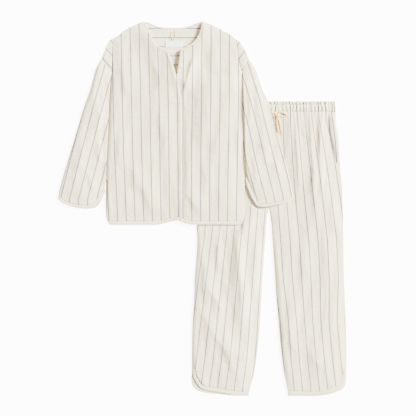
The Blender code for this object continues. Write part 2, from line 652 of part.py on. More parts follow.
def build_facing(word, sign, side_rows, pocket, corner):
    """The piece seen in the pocket mouth, from the side seam to a little way under the front."""
    mouth = smooth_line(pocket, 6)
    side = smooth_line([(pocket[0][0] + sign * 1.6, pocket[0][1] + 4)]
                       + [row for row in side_rows if row[1] > 810][:-1] + [(corner, WAIST_SEAM - SEAM)], 6)
    tucked = mouth - np.array([sign * POCKET_TUCK, 0])
    tucked[0] = side[0] - np.array([sign * POCKET_TUCK, -3])
    tucked[-1, 1] = WAIST_SEAM - SEAM
    bottom = np.linspace(tucked[0], side[0], 5)
    top = np.linspace(tucked[-1], side[-1], 5)
    panel(f"pocket_facing_{word}", (bottom, top, tucked, side), TROUSERS_ZERO, band_level)


def build_waistband():
    """Gathered casing: one strip, folded at one side of the waist and seamed at the other."""
    columns = 104
    left = smooth_line(WAIST_LEFT, 2)
    right = smooth_line(WAIST_RIGHT, 2)
    bottom = np.linspace(left[0], right[0], columns + 1)
    top = np.linspace(left[-1], right[-1], columns + 1)
    points, _, _ = patch(bottom, top, left, right)
    level = WALL + SEAM + gathers(points)
    folded_body("waistband", points, points, 0 * level, level, TROUSERS_ZERO, COLOURS["cloth"])


def tube(course, half_width, half_thickness, ring=6):
    """Vertices and faces of a closed flattened tube along a course of points."""
    tangent = np.gradient(course, axis=0)
    tangent /= np.linalg.norm(tangent, axis=1)[:, None]
    side = np.cross(tangent, np.array([0, 0, 1.0]))
    side /= np.linalg.norm(side, axis=1)[:, None]
    up = np.cross(side, tangent)
    points, faces = [], []
    for i, centre in enumerate(course):
        for k in range(ring):
            turn = 2 * math.pi * k / ring
            offset = side[i] * half_width * math.cos(turn) + up[i] * half_thickness * math.sin(turn)
            points.append(centre + offset)
    for i in range(len(course) - 1):
        for k in range(ring):
            a, b = i * ring + k, i * ring + (k + 1) % ring
            faces.append((a, b, b + ring, a + ring))
    faces.append(tuple(range(ring))[::-1])
    faces.append(tuple(range((len(course) - 1) * ring, len(course) * ring)))
    return np.array(points), faces


def build_drawstring():
    """The tied cord as one solid: leads from the casing, two loops, two tails and the knot."""
    bpy.ops.mesh.primitive_uv_sphere_add(segments=10, ring_count=6, radius=1.0)
    knot = bpy.context.object
    lift = WALL + SEAM + WALL + WAVE_HEIGHT
    zero = np.array([TROUSERS_ZERO[0], TROUSERS_ZERO[1], lift])
    knot.scale = np.array(KNOT_SIZE) * MM
    knot.location = (np.array(KNOT_CENTRE) + zero) * MM
    bpy.ops.object.transform_apply(location=True, rotation=True, scale=True)
    knot.name = "drawstring"
    for name, rows in CORD_RUNS.items():
        course = smooth_line(rows, 4 if "lead" in name else 10) + zero
        points, faces = tube(course, CORD_HALF_WIDTH, CORD_HALF_THICKNESS)
        mesh = bpy.data.meshes.new(name)
        mesh.from_pydata((points * MM).tolist(), [], faces)
        mesh.update()
        if signed_volume(mesh) < 0:
            mesh.flip_normals()
        run = bpy.data.objects.new(name, mesh)
        bpy.context.scene.collection.objects.link(run)
        union = knot.modifiers.new(name, "BOOLEAN")
        union.operation = "UNION"
        union.solver = "EXACT"
        union.object = run
        bpy.context.view_layer.objects.active = knot
        bpy.ops.object.modifier_apply(modifier=union.name)
        bpy.data.objects.remove(run, do_unlink=True)
    mesh = knot.data.copy()
    bpy.data.objects.remove(knot, do_unlink=True)
    mesh.materials.clear()
    finish_object("drawstring", mesh, COLOURS["cord"], 0.8)


clear_scene()
build_top()
build_legs()
build_waistband()
build_drawstring()
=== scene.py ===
# Striped pyjama set laid out flat: a collarless top over drawstring trousers.
# Lengths are in millimetres. Tables count from each garment's own drafting zero: x right, y up the garment.
import math

import bpy
import numpy as np
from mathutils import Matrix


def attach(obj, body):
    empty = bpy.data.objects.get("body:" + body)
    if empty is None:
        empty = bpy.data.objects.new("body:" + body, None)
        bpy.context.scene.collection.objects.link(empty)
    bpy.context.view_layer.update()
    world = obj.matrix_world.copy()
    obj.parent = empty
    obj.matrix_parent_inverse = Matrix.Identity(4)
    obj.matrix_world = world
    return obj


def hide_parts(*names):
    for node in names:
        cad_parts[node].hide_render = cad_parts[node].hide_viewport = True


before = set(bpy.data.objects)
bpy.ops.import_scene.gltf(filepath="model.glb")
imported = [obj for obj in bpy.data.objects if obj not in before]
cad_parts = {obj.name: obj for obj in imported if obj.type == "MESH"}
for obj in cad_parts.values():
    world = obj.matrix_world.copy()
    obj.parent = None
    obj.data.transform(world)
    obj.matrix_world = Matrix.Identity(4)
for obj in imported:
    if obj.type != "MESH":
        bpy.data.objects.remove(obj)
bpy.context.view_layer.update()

MM = 0.001

# Cloth: its wall, the height of one layer, the gap at a seam, the rounded rim, and the tuck under a side.
WALL = 1.2
LAYER = 1.5
SEAM = 0.02
RIM = 0.3
TUCK = 0.15
# Distance from stripe to stripe, and how far from an edge a steep side takes up cloth.
PERIOD = 31.4
STEEP_SIDE = 14.0

# How far the fronts rise round the neck and roll at their left side, and how far the legs' fronts rise.
NECK_RISE = 6.8
SIDE_ROLL = 1.4
LEG_RISE = 4.0
# How far each tube of the top stands up: sleeve, cap and cuff band.
SLEEVE_RISE = 4.2
CAP_RISE = 1.7
CUFF_RISE = 1.7

# Where each garment's drafting zero lies in the shared frame.
TOP_ZERO = np.array([-93.8, -55.2])
TROUSERS_ZERO = np.array([230.5, -645.8])

# How high the top lies on the trousers and on their gathers, and how softly it comes down beside them.
TROUSERS_STACK = 4.5
GATHER_STACK = 3.1
CARRY_MARGIN = 34.0
CARRY_RAMP = 64.0

# Finished widths of the bands, and how high stitches lie beside their raised middle.
HEM_BAND = 12.0
CUFF_BAND = 9.0
NECK_BAND = 6.0
LEG_BAND = 13.0
BAND_SWELL = 0.28

# How many cells a panel of the top has across, along its shoulder, up its side and up its armhole.
TOP_COLUMNS = 60
SHOULDER_COLUMNS = 30
SIDE_ROWS = 128
ARMHOLE_ROWS = 30

# Gathers at the waist: small waves at the seam, and wider pleats that run on below them.
WAVE_LENGTH = 12.2
WAVE_HEIGHT = 2.2
WAVE_RUN = 45.0
PLEAT_LENGTH = 36.0
PLEAT_HEIGHT = 1.6
PLEAT_RUN = 170.0

# Edges of the top's pieces. Each row is (x, y).
BODY_SIDE_LEFT = [(-228, 4), (-237, 30), (-239, 60), (-239, 120), (-237, 189), (-234, 275), (-230, 344),
                  (-227, 413), (-223, 472), (-219, 527)]
ARMHOLE_LEFT = [(-219, 527), (-217.5, 553), (-216.3, 579), (-215.4, 612), (-215, 641)]
BODY_SIDE_RIGHT = [(230, 4), (237, 30), (238, 60), (239, 120), (238, 189), (236, 275), (234, 344),
                   (232, 413), (231, 465), (229, 529)]
ARMHOLE_RIGHT = [(229, 529), (222.5, 552), (217.5, 575), (214, 605), (212.5, 638)]
SHOULDER_LEFT = [(-215, 641), (-190, 658), (-172, 672), (-145, 686), (-121, 697), (-105, 701)]
SHOULDER_RIGHT = [(212.5, 638), (188, 658), (162, 672), (138, 685), (107, 698), (94, 702)]
NECK_FRONT_LEFT = [(-105, 701), (-93, 676), (-81, 648), (-71, 625), (-55, 613), (-27, 601)]
NECK_FRONT_RIGHT = [(94, 702), (88, 670), (81, 652), (72, 639), (59, 625), (43, 615), (19, 603)]
NECK_BACK = [(-105, 701), (-90, 698), (-69, 688), (-52, 683), (-12, 680), (28, 681), (52, 687), (76, 697),
             (94, 702)]
EDGE_OVER = [(25, 8), (25, 258), (23, 413), (15, 460), (5, 510), (-3, 540), (-14, 571), (-27, 601)]
EDGE_UNDER = [(0, 14), (0, 258), (0, 458), (5, 510), (9, 534), (13, 562), (19, 603)]
HEM_LEFT = [(-228, 4), (-222, 0), (-138, 0), (-66, 0), (-51, 2), (-21, 9), (9, 15), (25, 8)]
HEM_RIGHT = [(0, 14), (9, 15), (27, 8), (52, 1), (72, 0), (155, 0), (221, 0), (230, 4)]
HEM_BACK = [(-228, 4), (-222, 0), (-138, 0), (-66, 1), (-51, 3.5), (-21, 10.5), (8, 17), (27, 10.5),
            (52, 3), (72, 1), (155, 0), (221, 0), (230, 4)]
YOKE_SEAM = [(-219, 527), (-110, 527.5), (0, 528), (110, 528.5), (229, 529)]
CAP_SEAM_LEFT = [(-220.0, 527), (-236, 550.5), (-252, 574)]
CAP_FOLD_LEFT = [(-252, 574), (-243, 596), (-233, 620), (-219.5, 641)]
CAP_SEAM_RIGHT = [(230.0, 529), (242, 550), (254, 571)]
CAP_FOLD_RIGHT = [(254, 571), (246, 592), (232, 617), (217, 638)]
SLEEVE_FOLD_LEFT = [(-252, 574), (-273, 534), (-292, 465), (-314, 403), (-337, 327), (-358, 258),
                    (-379, 189), (-398, 120), (-403, 89)]
SLEEVE_INNER_LEFT = [(-220, 527), (-224.2, 472), (-228.2, 413), (-231.2, 344), (-235.2, 275),
                     (-238.2, 189), (-240.4, 120)]
CUFF_LEFT = [(-240.4, 120), (-255, 98), (-266, 80), (-278, 66), (-293, 58), (-326, 58), (-360, 65),
             (-386, 75), (-403, 89)]
CUFF_LEFT_UNDER = [(-240.4, 116), (-250, 92), (-259, 74), (-272, 60), (-290, 56), (-326, 57),
                   (-360, 64.5), (-386, 75), (-403, 89)]
SLEEVE_FOLD_RIGHT = [(254, 571), (278, 534), (301, 465), (323, 416), (345, 327), (366, 258), (384, 189),
                     (401, 120), (405, 89)]
SLEEVE_INNER_RIGHT = [(230, 529), (232.2, 465), (233.2, 413), (235.2, 344), (237.2, 275), (239.6, 215),
                      (242, 168)]
CUFF_RIGHT = [(242, 168), (245, 144), (254, 117), (266, 89), (282, 66), (298, 61), (326, 64), (355, 69),
              (379, 75), (405, 89)]
CUFF_RIGHT_UNDER = [(240.6, 162), (242.5, 136), (249, 108), (260, 82), (277, 61), (296, 57), (326, 62),
                    (355, 68), (379, 75), (405, 89)]

# Blank label: its sides and its lower and upper edges. Hanger loop: each row is (x, y, z).
LABEL_SIDES = (-33, 27)
LABEL_EDGES = (611, 634)
LOOP = [(-11, 671, 1.6), (-11.5, 650, 2.0), (-10, 642, 2.2), (-5.5, 637.5, 2.2), (-1, 642, 2.2),
        (0.5, 650, 2.0), (0, 671, 1.6)]
# Line round the neck opening, where the fronts stand highest. Each row is (x, y).
NECK_LINE = [(-81, 648), (-55, 613), (-27, 601), (-10, 560), (5, 510), (14, 560), (19, 603), (59, 625),
             (81, 652), (90, 682)]
# Centres of the concealed buttons, and how far they raise the left front.
BUTTONS = [(-2, 424), (-1, 324), (3, 224), (2, 124)]
BUTTON_RISE = 0.9
BUTTON_RADIUS = 7.5

# Heights of the crotch, of the waist seam, of the stitched channel above it, and of the waist's upper edge.
CROTCH = 650.0
WAIST_SEAM = 980.0
HEADING = 1005.0
WAIST_TOP = 1017.0
# Edges of the trousers' pieces. Each row is (x, y).
WAIST_LEFT = [(-191, 980), (-189, 998), (-186, 1017)]
WAIST_RIGHT = [(230, 980), (229, 998), (226, 1017)]
LEG_SIDE_RIGHT = [(267, 83), (267, 176), (264, 262), (262, 331), (259, 400), (257, 504), (256, 590),
                  (254, 676), (248, 762), (243, 849), (235, 928), (230, 980)]
LEG_SIDE_LEFT = [(-266, 93), (-266, 159), (-264, 245), (-259, 331), (-256, 417), (-249, 504), (-248, 556),
                 (-250.5, 588), (-246, 630), (-238, 676), (-224, 797), (-209, 900), (-191, 980)]
INSEAM_LEFT = [(-69, 2), (-61, 34), (-49, 90), (-39, 159), (-32, 228), (-26, 331), (-20, 435), (-12, 545),
               (-7, 614), (-0.2, 650)]
INSEAM_RIGHT = [(65, 3), (59, 34), (50, 90), (41, 159), (33, 245), (26, 331), (21, 400), (14, 504),
                (7, 600), (0.2, 650)]
RISE = [(0, 650), (6, 720), (14, 850), (20, 980)]
LEG_HEM_LEFT = [(-266, 93), (-261, 66), (-249, 43), (-235, 28), (-210, 19), (-178, 14), (-122, 4),
                (-69, 2)]
LEG_HEM_LEFT_BACK = [(-266, 93), (-267, 48), (-258, 28), (-239, 16), (-210, 10), (-178, 7), (-122, 2),
                     (-69, 1)]
LEG_HEM_RIGHT = [(267, 83), (265, 62), (260, 45), (250, 34), (231, 21), (205, 10), (174, 3), (107, 3),
                 (65, 3)]
LEG_HEM_RIGHT_BACK = [(267, 83), (267, 56), (263, 38), (254, 26), (235, 15), (207, 6), (174, 1), (107, 1),
                      (65, 1)]
POCKET_RIGHT = [(233, 797), (225, 826), (215, 869), (207, 901), (204, 937), (203, 980)]
POCKET_LEFT = [(-226, 797), (-212, 830), (-196, 869), (-184, 901), (-174, 937), (-168, 980)]
POCKET_TUCK = 12.0

# Outlines of what is covered and of what carries it, in the shared frame.
TOP_OUTLINE = np.array(
    [(-219, 527), (-239, 60), (-222, 0), (-66, 0), (9, 15), (72, 0), (221, 0), (238, 60), (242, 168),
     (266, 89), (298, 61), (379, 75), (405, 89), (384, 189), (345, 327), (278, 534), (254, 571),
     (217, 638)], dtype=float) + TOP_ZERO
TROUSER_OUTLINE = np.array(
    [(226, 1017), (230, 980), (243, 849), (254, 676), (257, 504), (262, 331), (267, 83), (254, 30), (65, 3),
     (0, 650), (-69, 2), (-258, 30), (-266, 159), (-256, 417), (-246, 590), (-224, 797), (-191, 980),
     (-186, 1017)], dtype=float) + TROUSERS_ZERO
GATHER_OUTLINE = np.array([(226, 1017), (230, 930), (-191, 930), (-186, 1017)], dtype=float) + TROUSERS_ZERO

# Largest folds, as ridges. (x1, y1, x2, y2, half_width, height)
TOP_FOLDS = [
    (56, 592, 24, 470, 9, 3.6),
    (-78, 500, -64, 250, 22, 2.6),
    (-44, 360, -50, 120, 16, 1.8),
    (96, 470, 90, 180, 24, 2.2),
    (150, 560, 172, 300, 20, 2.0),
    (-150, 600, -176, 400, 18, 2.0),
    (34, 420, 38, 60, 8, 1.2),
]
SLEEVE_FOLDS = [
    (-248, 470, -262, 330, 9, 2.6),
    (-276, 420, -300, 250, 14, 2.2),
    (-330, 250, -352, 130, 16, 1.6),
    (252, 460, 262, 330, 9, 2.4),
    (290, 400, 312, 240, 14, 2.0),
    (330, 230, 352, 130, 16, 1.6),
]
TROUSER_FOLDS = [
    (-112, 560, -118, 330, 15, 4.6),
    (-92, 540, -96, 360, 9, 2.2),
    (-218, 385, -120, 120, 15, 3.4),
    (-180, 430, -90, 250, 12, 2.2),
    (-236, 250, -170, 90, 12, 2.0),
    (188, 620, 196, 320, 12, 1.6),
    (60, 560, 84, 330, 16, 1.8),
    (120, 640, 128, 420, 18, 1.8),
    (138, 60, 214, 84, 9, 2.4),
    (224, 560, 232, 300, 10, 2.0),
]

# Creases with a steep side facing left, their depth, and the height of the slow unevenness.
# (x1, y1, x2, y2, steep_width, soft_width, height)
CREASE_DEPTH = 1.5
DRIFT = 0.75
# Share of the tables' folds and creases that each garment takes.
TOP_FOLD_SHARE = 0.6
TOP_CREASE_SHARE = 0.8
TROUSER_FOLD_SHARE = 0.45
# Short ripples beside a sewn edge, and how much of the wall is rounded off at an open edge.
PUCKER = 0.28
ROUNDING = 0.28
TOP_CREASES = [
    (-86, 606, -50, 446, 36, 40, 3.4),
    (-59, 405, -41, 284, 22, 34, 3.0),
    (-148, 210, -145, 110, 16, 30, 2.2),
    (-138, 205, -62, -10, 26, 40, 3.2),
    (28, 120, 100, 16, 13, 30, 2.0),
    (124, 625, 129, 515, 18, 30, 1.8),
    (200, 612, 204, 436, 30, 26, 2.0),
    (214, 382, 216, 206, 16, 14, 1.4),
    (150, 330, 132, 180, 20, 34, 1.3),
    (70, 604, 23, 440, 6, 20, 4.4),
    (96, 230, 110, 90, 18, 30, 1.6),
    (-182, 560, -170, 430, 22, 30, 2.0),
    (-196, 330, -188, 190, 18, 30, 1.6),
]
SLEEVE_CREASES = [
    (-262, 450, -270, 300, 24, 18, 2.4),
    (-258, 296, -262, 204, 18, 14, 2.2),
    (-318, 300, -338, 170, 20, 24, 1.8),
    (-300, 190, -284, 100, 16, 20, 1.6),
    (276, 470, 292, 350, 14, 22, 1.2),
    (300, 300, 318, 190, 18, 24, 1.4),
    (352, 230, 366, 130, 16, 20, 1.0),
    (270, 250, 282, 130, 14, 18, 1.2),
]
TROUSER_CREASES = [
    (-101, 700, -98, 175, 40, 30, 4.4),
    (-52, 560, -55, 310, 20, 34, 2.4),
    (-221, 490, -223, 310, 20, 24, 2.4),
    (-176, 542, -179, 412, 17, 24, 2.2),
    (-250, 330, -92, 26, 36, 44, 3.3),
    (-226, 412, -146, 262, 16, 26, 1.9),
    (-168, 150, -62, 122, 30, 34, 1.3),
    (-92, 560, -40, 610, 12, 20, 2.0),
    (88, 990, 104, 690, 9, 14, 1.7),
    (138, 1000, 156, 700, 10, 14, 1.6),
    (166, 1000, 182, 640, 11, 13, 2.0),
    (118, 962, 121, 880, 8, 12, 1.2),
    (152, 820, 152, 552, 24, 34, 3.2),
    (190, 524, 193, 244, 13, 26, 0.8),
    (68, 372, 80, 104, 20, 30, 2.6),
    (112, 190, 214, 62, 34, 46, 2.2),
    (108, 560, 116, 380, 18, 30, 1.4),
    (214, 700, 222, 540, 14, 20, 1.4),
]

# Course of one stripe down each piece: height, where the stripe is, and the distance to the next one.
GRAIN = {
    "top_back": [(0, 0, 31.4), (700, 0, 31.4)],
    "top_front_left": [(5, -167, 30.0), (85, -170, 30.2), (258, -177, 31.2), (430, -181, 31.6),
                       (700, -187, 31.4)],
    "top_front_right": [(5, 28, 30.6), (85, 26, 31.0), (258, 26, 31.6), (430, 28, 31.8), (700, 30, 31.6)],
    "sleeve_left": [(85, -364, 31.2), (223, -329, 31.6), (292, -311.5, 32.0), (430, -275, 32.0),
                    (575, -234, 32.0)],
    "sleeve_right": [(85, 344, 30.4), (154, 327, 32.0), (223, 309.5, 32.2), (292, 294.3, 30.4),
                     (361, 277.4, 30.4), (430, 258.8, 32.4), (575, 214, 32.0)],
    "leg_front_left": [(28, -62, 29.0), (124, -49, 28.8), (193, -43, 28.6), (331, -35, 27.2),
                       (573, -19, 25.2), (800, 0, 25.0), (1017, 20, 24.2)],
    "leg_front_right": [(28, 144, 29.0), (124, 133, 28.6), (262, 122, 28.0), (400, 112.5, 31.6),
                        (538, 104, 32.2), (676, 91.5, 31.0), (814, 81, 28.8), (952, 73.5, 24.8),
                        (1017, 72, 24.0)],
    "pocket_facing": [(780, 236, 31), (818, 233, 31), (887, 227, 31), (925, 222, 31), (980, 214.5, 31)],
}

# Drawstring: its size, the length of each half in metres, and its zero.
CORD_WIDTH = 6.8
CORD_THICKNESS = 2.2
CORD_LENGTHS = (0.113, 0.152)
CORD_ZERO = np.array([*TROUSERS_ZERO, LAYER + WALL + WAVE_HEIGHT])
# Course of each half. Each row is (x, y, z above the panel).
BOW_LEFT = [(22, 979, 1.2), (24, 972, 2.0), (28, 966, 2.4), (21, 974, 4.6), (14.6, 974.5, 4.2),
            (13.4, 969, 2.8), (18, 964, 2.0), (26, 964.5, 2.2), (26, 950, 2.0), (28, 930, 1.4),
            (32, 908, 1.2)]
BOW_RIGHT = [(35, 979, 1.2), (33, 972, 2.0), (29, 966, 2.4), (34.5, 975.5, 4.6), (43, 979, 5.2),
             (53, 975, 4.2), (59.5, 968, 2.8), (54, 963.5, 2.0), (42, 964.5, 1.8), (31, 964.5, 2.4),
             (35, 948, 3.0), (39, 930, 2.0), (43, 904, 1.2)]
KNOT_CENTRE = (28.5, 966, 3.0)
KNOT_SIZE = (6.2, 4.8, 3.2)

# Colours of the cloth, the trim and the floor.
FLOOR_WHITE = (0.9, 0.9, 0.9)
CLOTH_CREAM = (0.81, 0.73, 0.475)
STRIPE_GREY = (0.105, 0.09, 0.19)
BAND_CREAM = (0.79, 0.715, 0.475)
CORD_PEACH = (0.93, 0.57, 0.19)
LABEL_WHITE = (0.93, 0.93, 0.91)
THREAD_CREAM = (0.74, 0.70, 0.60)

# Camera in metres, and the light. A sun is (turn, rise, spread, strength), the first three in degrees.
CAMERA_HEIGHT = 4.2
FRAME_WIDTH = 1.435
FRAME_CENTRE = (0.020, 0.0028)
SENSOR_WIDTH = 36.0
KEY_SUN = (24, 25, 20, 32.0)
FILL_SUN = (250, 70, 60, 1.6)
SHADE_WARM = (1.0, 0.88, 0.80)
SHADE_LIGHT = 0.28
FLOOR_GLOW = 8.0
FLOOR_SIZE = 80
FLOOR_DROP = 0.0002


# Shader sockets as Python values.
class Tone:
    """A shader socket that takes part in expressions."""

    def __init__(self, tree, socket):
        self.tree = tree
        self.socket = socket

    def node(self, kind, settings=None, values=None, output=0):
        """Add a node of a kind, with its settings and the values or links of its sockets."""
        made = self.tree.nodes.new(kind)
        for name, value in (settings or {}).items():
            setattr(made, name, value)
        for key, value in (values or {}).items():
            if isinstance(value, Tone):
                self.tree.links.new(value.socket, made.inputs[key])
            else:
                made.inputs[key].default_value = value
        return Tone(self.tree, made.outputs[output])

    def math(self, operation, *values):
        """One Math node on this socket and other values."""
        return self.node("ShaderNodeMath", {"operation": operation}, dict(enumerate((self,) + values)))

    def __add__(self, other):
        return self.math("ADD", other)

    __radd__ = __add__

    def __mul__(self, other):
        return self.math("MULTIPLY", other)

    __rmul__ = __mul__

    def __sub__(self, other):
        return self.math("SUBTRACT", other)

    def __rsub__(self, other):
        return self.math("MULTIPLY", -1.0).math("ADD", other)

    def __truediv__(self, other):
        return self.math("DIVIDE", other)

    def ramp(self, start, end):
        """Soft step from 0 to 1 between two values."""
        return self.node("ShaderNodeMapRange", {"interpolation_type": "SMOOTHSTEP"},
                         {"Value": self, "From Min": start, "From Max": end})

    def blended(self, first, second):
        """A colour between two others, by this value."""
        return self.node("ShaderNodeMix", {"data_type": "RGBA"}, {0: self, 6: first, 7: second}, 2)

    def shaded(self, base):
        """A colour made lighter or darker by this value."""
        return self.node("ShaderNodeVectorMath", {"operation": "SCALE"}, {0: base, "Scale": self})

    def line_distance(self, pitch):
        """Distance to the nearest of the lines a pitch apart."""
        return (self / pitch + 0.5).math("FRACT").math("SUBTRACT", 0.5).math("ABSOLUTE") * pitch


def new_material(name):
    """A material with its cloth coordinates: across the grain, along it, and both together."""
    material = bpy.data.materials.new(name)
    material.use_nodes = True
    tree = material.node_tree
    shader = tree.nodes["Principled BSDF"]
    place = tree.nodes.new("ShaderNodeUVMap")
    place.uv_map = "cloth"
    both = Tone(tree, place.outputs[0])
    parts = tree.nodes.new("ShaderNodeSeparateXYZ")
    tree.links.new(place.outputs[0], parts.inputs[0])
    return material, shader, Tone(tree, parts.outputs[0]), Tone(tree, parts.outputs[1]), both


def stretched(both, across, along, detail=2.0):
    """Noise on the cloth, with its own frequency across and along the grain."""
    scaled = both.node("ShaderNodeVectorMath", {"operation": "MULTIPLY"}, {0: both, 1: (across, along, 1.0)})
    return both.node("ShaderNodeTexNoise", {"noise_dimensions": "2D"},
                     {"Vector": scaled, "Scale": 1.0, "Detail": detail, "Roughness": 0.55})


def finish_fibre(shader, colour, height, strength, depth, roughness, sheen):
    """Give a shader its colour and relief, and the soft gloss of fibre."""
    bump = height.node("ShaderNodeBump", None, {"Strength": strength, "Distance": depth, "Height": height})
    height.tree.links.new(colour.socket, shader.inputs["Base Color"])
    height.tree.links.new(bump.socket, shader.inputs["Normal"])
    shader.inputs["Roughness"].default_value = roughness
    shader.inputs["Sheen Weight"].default_value = sheen


def woven_cloth(name, base, line_colour=None, relief=1.0):
    """Light plain weave: slubs and threads both ways, a soft crumple, and stripes where it has them."""
    material, shader, across, along, both = new_material(name)
    warp = stretched(both, 900.0, 14.0)
    weft = stretched(both, 14.0, 900.0)
    cloudy = stretched(both, 9.0, 7.0, 4.0)
    crumple = stretched(both, 34.0, 26.0, 3.0)
    slant = across.node("ShaderNodeCombineXYZ", None,
                        {0: across * 60.0 + along * 45.0, 1: along * 120.0 - across * 50.0})
    crinkle = stretched(slant, 1.0, 1.0)
    shade = 1.0 + (warp - 0.5) * 0.07 + (weft - 0.5) * 0.06 + (cloudy - 0.5) * 0.05
    colour = shade.shaded(base)
    if line_colour is not None:
        tonal = 1.0 - across.line_distance(PERIOD * MM / 4).ramp(0.0007, 0.0016)
        pale = tuple(min(1.0, channel * 1.03) for channel in base)
        colour = (tonal * 0.8).blended(colour, shade.shaded(pale))
        stripe = 1.0 - across.line_distance(PERIOD * MM).ramp(0.0013, 0.0024)
        broken = stripe * (0.94 + (weft - 0.5) * 0.5)
        colour = broken.blended(colour, (*line_colour, 1.0))
    threads = (across * 9000.0).math("SINE") * (along * 9000.0).math("SINE")
    height = (crumple - 0.5) * 0.9 + (crinkle - 0.5) * 3.2 + (warp + weft - 1.0) * 0.10 + threads * 0.04
    finish_fibre(shader, colour, height, 0.35 * relief, 0.0009, 0.88, 0.12)
    shader.inputs["Specular IOR Level"].default_value = 0.25
    shader.inputs["Sheen Roughness"].default_value = 0.5
    return material


def twill_tape(name, base, pitch):
    """Narrow tape or cord with slanting ribs, with painted highlight on their crests and painted shade in
    their grooves.
    """
    material, shader, across, along, both = new_material(name)
    ribs = ((across + along) * (2 * math.pi / pitch)).math("SINE")
    fuzz = stretched(both, 1500.0, 700.0)
    # The ribs term is painted light: lighter on the raised crests and darker in the grooves, in step with
    # the bump. The fuzz is random tone.
    shade = 0.97 + ribs * 0.035 + (fuzz - 0.5) * 0.12
    colour = shade.shaded(base)
    height = ribs * 0.5 + (fuzz - 0.5) * 0.6
    finish_fibre(shader, colour, height, 0.5, 0.0003, 0.8, 0.15)
    return material


def studio_floor(name, base):
    """Pale ground that reads as white paper."""
    material = bpy.data.materials.new(name)
    material.use_nodes = True
    shader = material.node_tree.nodes["Principled BSDF"]
    shader.inputs["Base Color"].default_value = (*base, 1)
    shader.inputs["Roughness"].default_value = 0.9
    shader.inputs["Emission Color"].default_value = (1, 1, 1, 1)
    shader.inputs["Emission Strength"].default_value = FLOOR_GLOW
    return material


# Curves and cut outlines.
def lengths_along(course):
    """Distance of each point from the first one, along a run of points."""
    return np.concatenate([[0], np.cumsum(np.linalg.norm(np.diff(course, axis=0), axis=1))])


def directions(course):
    """Unit direction of a run of points at each of them."""
    tangent = np.gradient(course, axis=0)
    return tangent / np.linalg.norm(tangent, axis=1)[:, None]


def to_the_left(way):
    """Flat directions turned a quarter to the left."""
    return np.stack([-way[:, 1], way[:, 0]], axis=1)


def at_shares(course, count):
    """Count + 1 points at equal distances along a run of points."""
    course = np.asarray(course, dtype=float)
    lengths = lengths_along(course)
    wanted = np.linspace(0, lengths[-1], count + 1)
    return np.stack([np.interp(wanted, lengths, course[:, k]) for k in range(course.shape[1])], axis=1)


def smooth_line(rows, count):
    """Count + 1 points at equal distances along a soft curve through a table's rows."""
    rows = np.array(rows, dtype=float)
    padded = np.vstack([2 * rows[0] - rows[1], rows, 2 * rows[-1] - rows[-2]])
    steps = np.linspace(0, 1, 17)[:-1][:, None]
    course = []
    for i in range(1, len(padded) - 2):
        before, start, end, after = padded[i - 1], padded[i], padded[i + 1], padded[i + 2]
        span = np.linalg.norm(end - start)
        slope_start = (end - before) / max(np.linalg.norm(end - before), 1e-6) * span
        slope_end = (after - start) / max(np.linalg.norm(after - start), 1e-6) * span
        course.append((2 * steps ** 3 - 3 * steps ** 2 + 1) * start + (steps ** 3 - 2 * steps ** 2 + steps)
                      * slope_start + (3 * steps ** 2 - 2 * steps ** 3) * end + (steps ** 3 - steps ** 2)
                      * slope_end)
    return at_shares(np.vstack(course + [rows[-1][None, :]]), count)


def joined(*parts):
    """Several runs of points as one, without the doubled corners."""
    return np.vstack([parts[0]] + [part[1:] for part in parts[1:]])


def inset(line, distance):
    """A line moved to its left by a distance, with no loop in a tight corner."""
    line = np.asarray(line, dtype=float)
    moved = line + to_the_left(directions(line)) * distance
    forward = (np.diff(moved, axis=0) * np.diff(line, axis=0)).sum(1) > 0
    kept = np.concatenate([[True], forward]) & np.concatenate([forward, [True]])
    place = np.arange(len(line))
    return np.stack([np.interp(place, place[kept], moved[kept, k]) for k in range(2)], axis=1)


def with_ends(line, first=None, last=None):
    """The same line cut or drawn out to new ends, and its points spread evenly again."""
    line = np.asarray(line, dtype=float)
    count = len(line) - 1
    if first is not None:
        nearest = np.linalg.norm(line - first, axis=1).argmin()
        line = np.vstack([first, line[nearest + 1:]])
    if last is not None:
        nearest = np.linalg.norm(line - last, axis=1).argmin()
        line = np.vstack([line[:nearest], last])
    return at_shares(line, count)


def above(rows, height):
    """The rows of an edge table that lie above a height."""
    return [row for row in rows if row[1] > height]


def patch(bottom, top, left, right):
    """Points of a four-sided piece of cloth, worked out from its edges."""
    across = np.linspace(0, 1, len(bottom))[None, :, None]
    along = np.linspace(0, 1, len(left))[:, None, None]
    points = (1 - along) * bottom[None] + along * top[None]
    points = points + (1 - across) * left[:, None] + across * right[:, None]
    points = points - (1 - across) * (1 - along) * bottom[0] - across * (1 - along) * bottom[-1]
    return points - (1 - across) * along * top[0] - across * along * top[-1]


def with_rims(points, axes=(0, 1)):
    """The same grid with one more row or column close to each edge, so that the edges can be rounded."""
    for axis in axes:
        points = np.moveaxis(points, axis, 0)
        first = points[1] - points[0]
        last = points[-2] - points[-1]
        first = points[0] + first / np.linalg.norm(first, axis=1)[:, None] * RIM
        last = points[-1] + last / np.linalg.norm(last, axis=1)[:, None] * RIM
        points = np.concatenate([points[:1], first[None], points[1:-1], last[None], points[-1:]])
        points = np.moveaxis(points, 0, axis)
    return points


def shares(count):
    """Places of a rimmed grid's lines from 0 to 1."""
    inner = np.linspace(0, 1, count - 2)
    return np.concatenate([[0, inner[1] * 0.1], inner[1:-1], [1 - inner[1] * 0.1, 1]])


def grid_shares(points):
    """Places of a rimmed grid's points across it and along it, both from 0 to 1."""
    level = np.zeros(points.shape[:2])
    return shares(points.shape[1])[None, :] + level, shares(points.shape[0])[:, None] + level


# Heights of the layers.
def ease(value):
    """Soft step from 0 to 1."""
    value = np.clip(value, 0, 1)
    return value * value * (3 - 2 * value)


